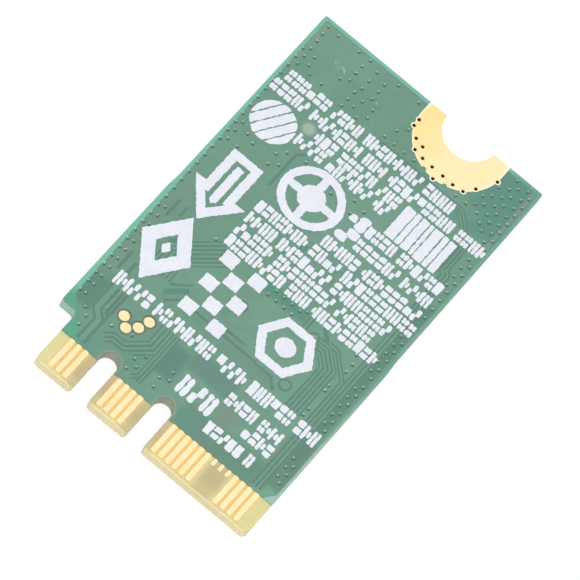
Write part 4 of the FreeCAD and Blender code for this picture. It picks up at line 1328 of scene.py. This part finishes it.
@dataclass
class TrackWork:
    """Copper tracks and the cleared ground beside them, seen through the mask.

    Lengths but the face are millimetres, and a ring holds its middle and radius.
    """

    face: float
    foot: float = -0.003
    ground_rise: float = 0.002
    track_rise: float = 0.007
    step: float = 0.0002
    least_track: float = 0.05
    scuff_width: float = 0.035
    ring_width: float = 0.13
    ring_sides: int = 18
    rings: tuple[Place, ...] = ((7.75, 11.2, 0.33), (12.0, 12.6, 0.33), (12.55, 9.0, 0.36))
    bands: tuple[Run, ...] = (
        Run(((3.85, 8.6), (4.95, 9.7)), 1, 0.2, 0.02, 0.16),
        Run(((2.35, 10.4), (2.35, 11.5), (3.1, 12.25)), 1, 0.2, 0.02, 0.26),
    )
    scuffs: tuple[tuple[Point, ...], ...] = (
        ((2.2, 28.0), (2.35, 27.82)), ((2.32, 28.1), (2.42, 27.98)), ((2.62, 27.95), (2.8, 27.86)),
        ((2.78, 27.98), (2.98, 27.78), (3.08, 27.68)), ((2.9, 27.92), (3.06, 27.8)),
        ((2.52, 27.74), (2.66, 27.7)), ((5.56, 27.55), (5.7, 27.5)),
    )
    runs: tuple[Run, ...] = (
        Run(((7.15, 25.1), (7.57, 25.52), (13.45, 25.52), (15.0, 23.97), (15.0, 21.6)),
            2, 0.215, 0.095, 0.12),
        Run(((15.0, 21.7), (15.26, 21.44), (15.26, 8.0), (15.1, 7.84), (15.1, 2.7)),
            2, 0.25, 0.13, 0.13),
        Run(((14.62, 24.2), (14.62, 21.3)), 1, 0.2, 0.1, 0.1),
        Run(((12.9, 12.95), (13.5, 12.95), (14.9, 11.5), (14.9, 8.0)), 1, 0.2, 0.11, 0.13),
        Run(((4.75, 21.85), (4.2, 21.3), (4.2, 18.5)), 1, 0.2, 0.02, 0.08),
        Run(((6.0, 21.2), (7.5, 21.2)), 1, 0.2, 0.1, 0.1),
        Run(((8.0, 17.05), (8.0, 15.9)), 2, 0.24, 0.1),
        Run(((2.93, 9.3), (2.93, 10.98), (5.5, 13.55)), 6, 0.265, 0.14, 0.13),
        Run(((3.85, 9.25), (4.9, 10.15)), 1, 0.2, 0.02, 0.07),
        Run(((4.2, 8.2), (4.95, 8.93), (7.9, 8.93)), 1, 0.2, 0.02, 0.07),
        Run(((7.4, 9.34), (9.3, 9.34)), 1, 0.2, 0.02, 0.07),
        Run(((7.9, 8.92), (10.4, 8.92), (10.42, 8.84), (11.6, 8.84), (12.2, 8.24)), 1, 0.2, 0.02, 0.08),
        Run(((11.2, 13.55), (11.2, 12.55)), 1, 0.22, 0.11, 0.13),
        Run(((12.1, 13.6), (12.75, 12.95)), 1, 0.2, 0.02, 0.12),
        Run(((12.3, 12.4), (12.95, 12.4), (13.8, 11.55), (13.8, 8.0)), 4, 0.245, 0.12, 0.13),
        Run(((1.7, 6.9), (1.7, 5.05), (2.25, 4.5), (2.25, 2.7)), 1, 0.55, 0.32, 0.17),
        Run(((2.27, 6.9), (2.27, 5.2), (2.5, 4.97), (2.5, 2.7)), 1, 0.55, 0.02, 0.09),
        Run(((2.52, 6.9), (2.52, 4.9)), 1, 0.2, 0.02, 0.09),
        Run(((5.44, 6.9), (5.44, 5.35), (4.3, 4.21), (3.5, 4.21), (3.15, 3.86)), 2, 0.29, 0.15, 0.13),
        Run(((5.85, 6.9), (5.85, 5.15), (4.95, 4.25)), 1, 0.2, 0.13, 0.11),
        Run(((6.06, 6.9), (6.06, 3.35), (5.7, 2.99)), 1, 0.2, 0.12, 0.1),
        Run(((6.28, 6.9), (6.28, 3.0)), 1, 0.2, 0.1, 0.12),
        Run(((1.04, 14.0), (1.04, 12.6)), 1, 0.2, 0.02, 0.08),
        Run(((1.64, 13.9), (1.64, 13.1)), 1, 0.2, 0.02, 0.08),
        Run(((1.04, 9.4), (1.04, 7.9)), 1, 0.2, 0.02, 0.08),
        Run(((1.66, 8.9), (1.66, 8.0)), 1, 0.2, 0.02, 0.1),
    )

    def beside(self, route: tuple[Point, ...], offset: float) -> list[Point]:
        """Route moved sideways by an even distance.

        Args:
            route: Corner points.
            offset: Distance to the left of the route's direction.

        Returns:
            The corner points of the moved route.
        """
        normals = []
        for (x1, y1), (x2, y2) in zip(route, route[1:]):
            length = math.hypot(x2 - x1, y2 - y1)
            normals.append(((y1 - y2) / length, (x2 - x1) / length))
        moved = []
        for index, (x, y) in enumerate(route):
            before = normals[max(index - 1, 0)]
            after = normals[min(index, len(normals) - 1)]
            share = 1.0 + before[0] * after[0] + before[1] * after[1]
            moved.append((x + offset * (before[0] + after[0]) / share,
                          y + offset * (before[1] + after[1]) / share))
        return moved

    def ribbon(self, route: list[Point], width: float, rise: float, lift: float) -> bpy.types.Object:
        """Flat-topped strip along a route, closed at its ends.

        Args:
            route: Corner points, in plan millimetres.
            width: Width of the strip.
            rise: Height of its top above the mask.
            lift: Further height that keeps crossing strips apart.

        Returns:
            The strip.
        """
        Workbench.dot(on_board(*route[0], self.face + lift * MM))
        for (x1, y1), (x2, y2) in zip(route, route[1:]):
            leg = Vector(((x2 - x1) * MM, (y2 - y1) * MM, 0.0))
            bpy.ops.mesh.extrude_vertices_move(TRANSFORM_OT_translate={"value": leg})
        bpy.ops.object.mode_set(mode="OBJECT")
        bpy.ops.object.convert(target="CURVE")
        strip = bpy.context.active_object
        strip.data.dimensions = "3D"
        strip.data.bevel_mode = "OBJECT"
        strip.data.bevel_object = self.section(width, rise)
        strip.data.use_fill_caps = True
        bpy.ops.object.convert(target="MESH")
        strip = bpy.context.active_object
        Workbench.settle(strip)
        return strip

    def section(self, width: float, rise: float) -> bpy.types.Object:
        """Cross-section of a strip: a low trapezoid with its foot just in the mask.

        Args:
            width: Width of the strip.
            rise: Height of its top above the mask.

        Returns:
            The section as a closed curve, shared by strips of one size.
        """
        name = f"section_{round(width * 1000)}_{round(rise * 1000)}"
        if name in bpy.data.objects:
            return bpy.data.objects[name]
        active = bpy.context.view_layer.objects.active
        chosen = list(bpy.context.selected_objects)
        Workbench.clear()
        bpy.ops.mesh.primitive_circle_add(vertices=4, radius=1.0, fill_type="NOTHING")
        shape = bpy.context.active_object
        corners = [(-width / 2, self.foot), (width / 2, self.foot), (width / 2 - rise, rise),
                   (rise - width / 2, rise)]
        for vertex, (across, up) in zip(shape.data.vertices, corners):
            vertex.co = (across * MM, up * MM, 0.0)
        bpy.ops.object.convert(target="CURVE")
        shape = bpy.context.active_object
        shape.name = name
        shape.data.dimensions = "2D"
        Workbench.clear()
        for piece in chosen:
            piece.select_set(True)
        bpy.context.view_layer.objects.active = active
        return shape

    def ring_route(self, x: float, y: float, radius: float) -> list[Point]:
        """Corner points of a closed ring of short straight runs."""
        turns = [math.tau * side / self.ring_sides for side in range(self.ring_sides + 1)]
        return [(x + radius * math.cos(turn), y + radius * math.sin(turn)) for turn in turns]

    def build(self) -> None:
        """Lays the cleared grounds, the tracks on them, the bare bands and the scuffs."""
        grounds = [self.ribbon(self.ring_route(*ring), self.ring_width, self.ground_rise, -self.step)
                   for ring in self.rings]
        bands = [self.ribbon(list(run.route), run.width + 2 * run.margin, self.ground_rise, -self.step)
                 for run in self.bands]
        scuffs = [self.ribbon(list(route), self.scuff_width, self.ground_rise, 0.0)
                  for route in self.scuffs]
        tracks = []
        for number, run in enumerate(self.runs):
            lift = number * self.step
            bed = (run.lines - 1) * run.pitch + run.width + 2 * run.margin
            grounds.append(self.ribbon(list(run.route), bed, self.ground_rise, lift))
            if run.width < self.least_track:
                continue
            for line in range(run.lines):
                offset = (line - (run.lines - 1) / 2) * run.pitch
                route = self.beside(run.route, offset)
                tracks.append(self.ribbon(route, run.width, self.track_rise, lift))
        sections = [piece for piece in bpy.data.objects if piece.name.startswith("section_")]
        mount(Workbench.join("track_grounds", grounds), "mask_over_laminate", "solder_mask")
        mount(Workbench.join("tracks_under_mask", tracks), "mask_over_track", "solder_mask")
        mount(Workbench.join("bare_bands", bands), "teal_ground", "solder_mask")
        mount(Workbench.join("scuff_marks", scuffs), "scuff", "solder_mask")
        Workbench.remove(*sections)


@dataclass(frozen=True)
class ViaLine:
    """Vias at an even pitch, in plan millimetres."""

    start: Point
    step: Point
    count: int


@dataclass
class MaskSheet:
    """Solder mask of the printed side, sunk where it covers a via.

    All lengths are millimetres. The section of a sunk place runs from its rim to its middle, each
    point as the distance from the middle and the height over the face.
    """

    node: str = "solder_mask_printed_side"
    face: float = MASK_FACE / MM
    spin_steps: int = 10
    smooth_degrees: float = 15.0
    section: tuple[Point, ...] = ((0.15, 0.01), (0.15, 0.0), (0.04, -0.041), (0.0, -0.043))
    lines: tuple[ViaLine, ...] = (
        ViaLine((0.33, 27.2), (0.0, -0.757), 30),
        ViaLine((0.57, 29.45), (0.04, -0.63), 3),
        ViaLine((0.68, 27.52), (0.0, -0.69), 3),
        ViaLine((0.67, 20.66), (0.0, -0.74), 3),
        ViaLine((0.70, 12.95), (0.0, -0.77), 11),
        ViaLine((16.0, 29.08), (0.0, -0.765), 7),
        ViaLine((16.0, 22.9), (0.0, -0.757), 7),
        ViaLine((16.0, 16.0), (0.0, -0.77), 11),
        ViaLine((16.0, 5.2), (0.0, -0.7), 3),
        ViaLine((15.67, 29.45), (0.0, -0.765), 7),
        ViaLine((15.67, 23.27), (0.0, -0.757), 4),
        ViaLine((15.67, 16.38), (0.0, -0.76), 5),
        ViaLine((15.67, 11.75), (0.0, -0.76), 5),
        ViaLine((15.67, 5.65), (0.0, -0.77), 3),
        ViaLine((14.75, 29.55), (0.0, -0.775), 6),
        ViaLine((15.13, 29.15), (0.0, -0.76), 6),
        ViaLine((14.23, 28.43), (0.0, -0.776), 4),
        ViaLine((13.84, 27.25), (0.0, -0.75), 2),
        ViaLine((3.58, 28.82), (0.0, -0.635), 3),
        ViaLine((4.46, 28.35), (-0.02, -0.72), 2),
        ViaLine((4.27, 27.1), (0.0, -0.63), 2),
        ViaLine((5.28, 28.83), (0.0, -0.65), 3),
        ViaLine((4.97, 26.95), (0.78, 0.0), 2),
        ViaLine((4.79, 26.3), (1.05, 0.0), 2),
        ViaLine((1.65, 26.1), (0.88, 0.0), 2),
        ViaLine((4.22, 25.85), (1.11, 0.0), 2),
        ViaLine((7.3, 26.1), (0.73, 0.0), 4),
        ViaLine((12.65, 26.1), (0.73, 0.0), 2),
        ViaLine((1.17, 27.2), (0.07, -0.67), 2),
        ViaLine((1.37, 29.42), (1.51, 0.06), 2),
        ViaLine((8.4, 12.85), (0.59, 0.0), 4),
        ViaLine((8.65, 13.38), (0.58, -0.01), 4),
        ViaLine((14.67, 12.85), (0.0, -0.65), 2),
        ViaLine((14.47, 10.8), (0.0, -0.42), 2),
        ViaLine((14.46, 8.75), (0.0, -0.5), 2),
    )
    single: tuple[Point, ...] = (
        (3.73, 29.5), (4.49, 29.15), (5.9, 29.4), (7.45, 29.4), (3.12, 27.2), (8.07, 27.5), (7.6, 26.93),
        (1.33, 20.25), (1.92, 19.97), (3.75, 20.98), (3.33, 20.45), (3.88, 20.0), (3.35, 19.57),
        (1.38, 19.15), (4.95, 21.3), (7.2, 20.75), (8.5, 21.4), (9.35, 21.2), (8.8, 20.55),
        (12.25, 18.6), (4.1, 13.45), (10.75, 13.6), (14.48, 13.5), (7.75, 11.2), (12.0, 12.6),
        (2.25, 5.4), (1.22, 4.55), (1.57, 4.12), (1.6, 3.42), (4.25, 5.07), (3.05, 4.7), (5.65, 4.55),
        (5.25, 4.0), (5.65, 3.65), (5.25, 3.2), (7.4, 4.9), (7.0, 4.1), (7.55, 4.35), (7.1, 3.4),
    )

    def places(self) -> list[Point]:
        """Works out where the covered vias are.

        Returns:
            Their plan places, the single ones first.
        """
        found = list(self.single)
        for line in self.lines:
            for number in range(line.count):
                found.append((line.start[0] + line.step[0] * number,
                              line.start[1] + line.step[1] * number))
        return found

    def cutter(self) -> bpy.types.Object:
        """Closed shape of one sunk place, spun from its section, in millimetres.

        Returns:
            The cutter, with its middle on the mask's face at the origin.
        """
        start = Vector((0.0, 0.0, self.section[0][1]))
        shape = Workbench.dot(start)
        for across, up in self.section:
            end = Vector((across, 0.0, up))
            bpy.ops.mesh.extrude_vertices_move(TRANSFORM_OT_translate={"value": end - start})
            start = end
        bpy.ops.mesh.select_all(action="SELECT")
        bpy.ops.mesh.spin(steps=self.spin_steps, angle=math.tau, center=(0.0, 0.0, 0.0),
                          axis=(0.0, 0.0, 1.0))
        Workbench.weld(SAME_POINT / MM)
        bpy.ops.mesh.normals_make_consistent(inside=False)
        bpy.ops.object.mode_set(mode="OBJECT")
        Workbench.settle(shape)
        return shape

    def build(self) -> None:
        """Cuts the sunk places into a copy of the mask and lays it in the mask's place."""
        sheet = Workbench.copy_of(frame["nodes"][self.node], Matrix.Scale(1.0 / MM, 4))
        Workbench.plain_normals(sheet)
        Workbench.edit(sheet)
        Workbench.weld(SAME_POINT / MM)
        bpy.ops.mesh.dissolve_limited(angle_limit=SAME_PLANE)
        bpy.ops.object.mode_set(mode="OBJECT")
        cutter = self.cutter()
        corner = Vector((-BOARD_WIDTH / 2, -BOARD_LENGTH / 2, self.face))
        cuts = [Workbench.copy_of(cutter, Matrix.Translation(corner + Vector((x, y, 0.0))))
                for x, y in self.places()]
        Workbench.remove(cutter)
        block = Workbench.join("via_cutters", cuts)
        change = sheet.modifiers.new("vias", "BOOLEAN")
        change.operation = "DIFFERENCE"
        change.solver = "EXACT"
        change.object = block
        Workbench.apply_modifiers(sheet)
        Workbench.remove(block)
        sheet.data.transform(Matrix.Scale(MM, 4))
        Workbench.take(sheet)
        bpy.ops.object.shade_smooth_by_angle(angle=math.radians(self.smooth_degrees))
        mount(Workbench.join("mask_sheet", [sheet]), "solder_mask", "solder_mask", self.node)


@dataclass(frozen=True)
class Lamp:
    """Round lamp that points at the card, with its place and diameter in metres."""

    name: str
    place: Place
    size: float
    energy: float
    diffuse: bool = True

    def hang(self) -> None:
        """Adds the lamp to the scene."""
        light = bpy.data.lights.new(self.name, "AREA")
        light.shape = "DISK"
        light.size = self.size
        light.energy = self.energy
        hung = bpy.data.objects.new(self.name, light)
        hung.location = self.place
        hung.rotation_euler = (-Vector(self.place)).to_track_quat("-Z", "Y").to_euler()
        hung.visible_diffuse = self.diffuse
        bpy.context.collection.objects.link(hung)


@dataclass
class Studio:
    """Pale floor, soft light and the camera.

    Lengths are metres, turns are degrees and the lens is in millimetres. The surroundings are dim
    on the contacts' side and brighter on the far side.
    """

    floor_size: float = 6.0
    floor_gap: float = 0.00002
    floor_tone: Colour = (0.9, 0.9, 0.9)
    white: Colour = (1.0, 1.0, 1.0)
    floor_glow: float = 1.06
    floor_glow_share: float = 0.88
    near_strength: float = 0.34
    far_gain: float = 0.66
    far_from: Point = (-0.3, 0.6)
    lamps: tuple[Lamp, ...] = (
        Lamp("front", (-0.06, -0.32, 0.26), 0.25, 0.22),
        Lamp("upper", (0.06, -0.19, 0.46), 0.15, 1.1),
        Lamp("sheen", (0.146, -0.028, 0.478), 0.36, 2.1, diffuse=False),
    )
    camera_place: Place = (0.026171, -0.204384, 0.338248)
    camera_turn: Place = (26.8949, -16.8099, 36.7563)
    lens: float = 428.918

    def floor(self) -> None:
        """Large pale floor that nearly hides its own shading and keeps the card's shadow."""
        Workbench.clear()
        bpy.ops.mesh.primitive_plane_add(size=self.floor_size, location=(0.0, 0.0, -self.floor_gap))
        plane = bpy.context.active_object
        plane.name = "studio_floor"
        Workbench.settle(plane)
        material = bpy.data.materials.new("studio_floor")
        material.use_nodes = True
        material.node_tree.nodes.clear()
        graph = ShaderGraph(material.node_tree)
        paper = graph.add("ShaderNodeBsdfDiffuse", {"Color": self.floor_tone})
        glow = graph.add("ShaderNodeEmission", {"Color": self.white, "Strength": self.floor_glow})
        blend = graph.add("ShaderNodeMixShader", {0: self.floor_glow_share, 1: paper.outputs[0],
                                                  2: glow.outputs[0]})
        path = graph.add("ShaderNodeLightPath")
        seen = graph.calc("MAXIMUM", path.outputs["Is Camera Ray"], path.outputs["Is Glossy Ray"])
        shown = graph.add("ShaderNodeMixShader", {0: seen, 1: paper.outputs[0], 2: blend.outputs[0]})
        out = graph.add("ShaderNodeOutputMaterial")
        graph.feed(out.inputs["Surface"], shown.outputs[0])
        plane.data.materials.append(material)

    def light(self) -> None:
        """Pale surroundings, two soft lamps, and one that only shows as sheen."""
        world = bpy.data.worlds.new("studio")
        bpy.context.scene.world = world
        world.use_nodes = True
        world.node_tree.nodes.clear()
        graph = ShaderGraph(world.node_tree)
        place = graph.add("ShaderNodeTexCoord").outputs["Generated"]
        axes = graph.add("ShaderNodeSeparateXYZ", {0: place}).outputs
        far = graph.ramp(axes["Y"], *self.far_from)
        strength = graph.calc("MULTIPLY_ADD", far, self.far_gain, self.near_strength)
        fill = graph.add("ShaderNodeBackground", {"Color": self.white, "Strength": strength})
        white = graph.add("ShaderNodeBackground", {"Color": self.white, "Strength": 1.0})
        path = graph.add("ShaderNodeLightPath")
        mixed = graph.add("ShaderNodeMixShader", {0: path.outputs["Is Camera Ray"], 1: fill.outputs[0],
                                                  2: white.outputs[0]})
        out = graph.add("ShaderNodeOutputWorld")
        graph.feed(out.inputs["Surface"], mixed.outputs[0])
        for lamp in self.lamps:
            lamp.hang()

    def camera(self) -> None:
        """Camera above the near side, turned as the card lies."""
        lens = bpy.data.cameras.new("camera")
        lens.sensor_width = 36.0
        lens.lens = self.lens
        lens.clip_start = 0.01
        lens.clip_end = 20.0
        view = bpy.data.objects.new("camera", lens)
        view.location = self.camera_place
        view.rotation_euler = [math.radians(angle) for angle in self.camera_turn]
        bpy.context.collection.objects.link(view)
        scene = bpy.context.scene
        scene.camera = view
        scene.view_settings.view_transform = "Standard"

    def build(self) -> None:
        """Sets up floor, light and camera."""
        self.camera()
        self.floor()
        self.light()
        LOG.info("studio ready")


def main() -> None:
    """Builds and dresses the card, then the studio round it."""
    logging.basicConfig(level=logging.INFO, format="%(name)s %(message)s")
    ink_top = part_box("legend_rows_middle")[1].z
    CarriedSolids().dress()
    TrackWork(MASK_FACE).build()
    MaskSheet().build()
    InkPrint(MASK_FACE - INK_BITE * MM, ink_top).build()
    Studio().build()


if __name__ == "__main__":
    main()
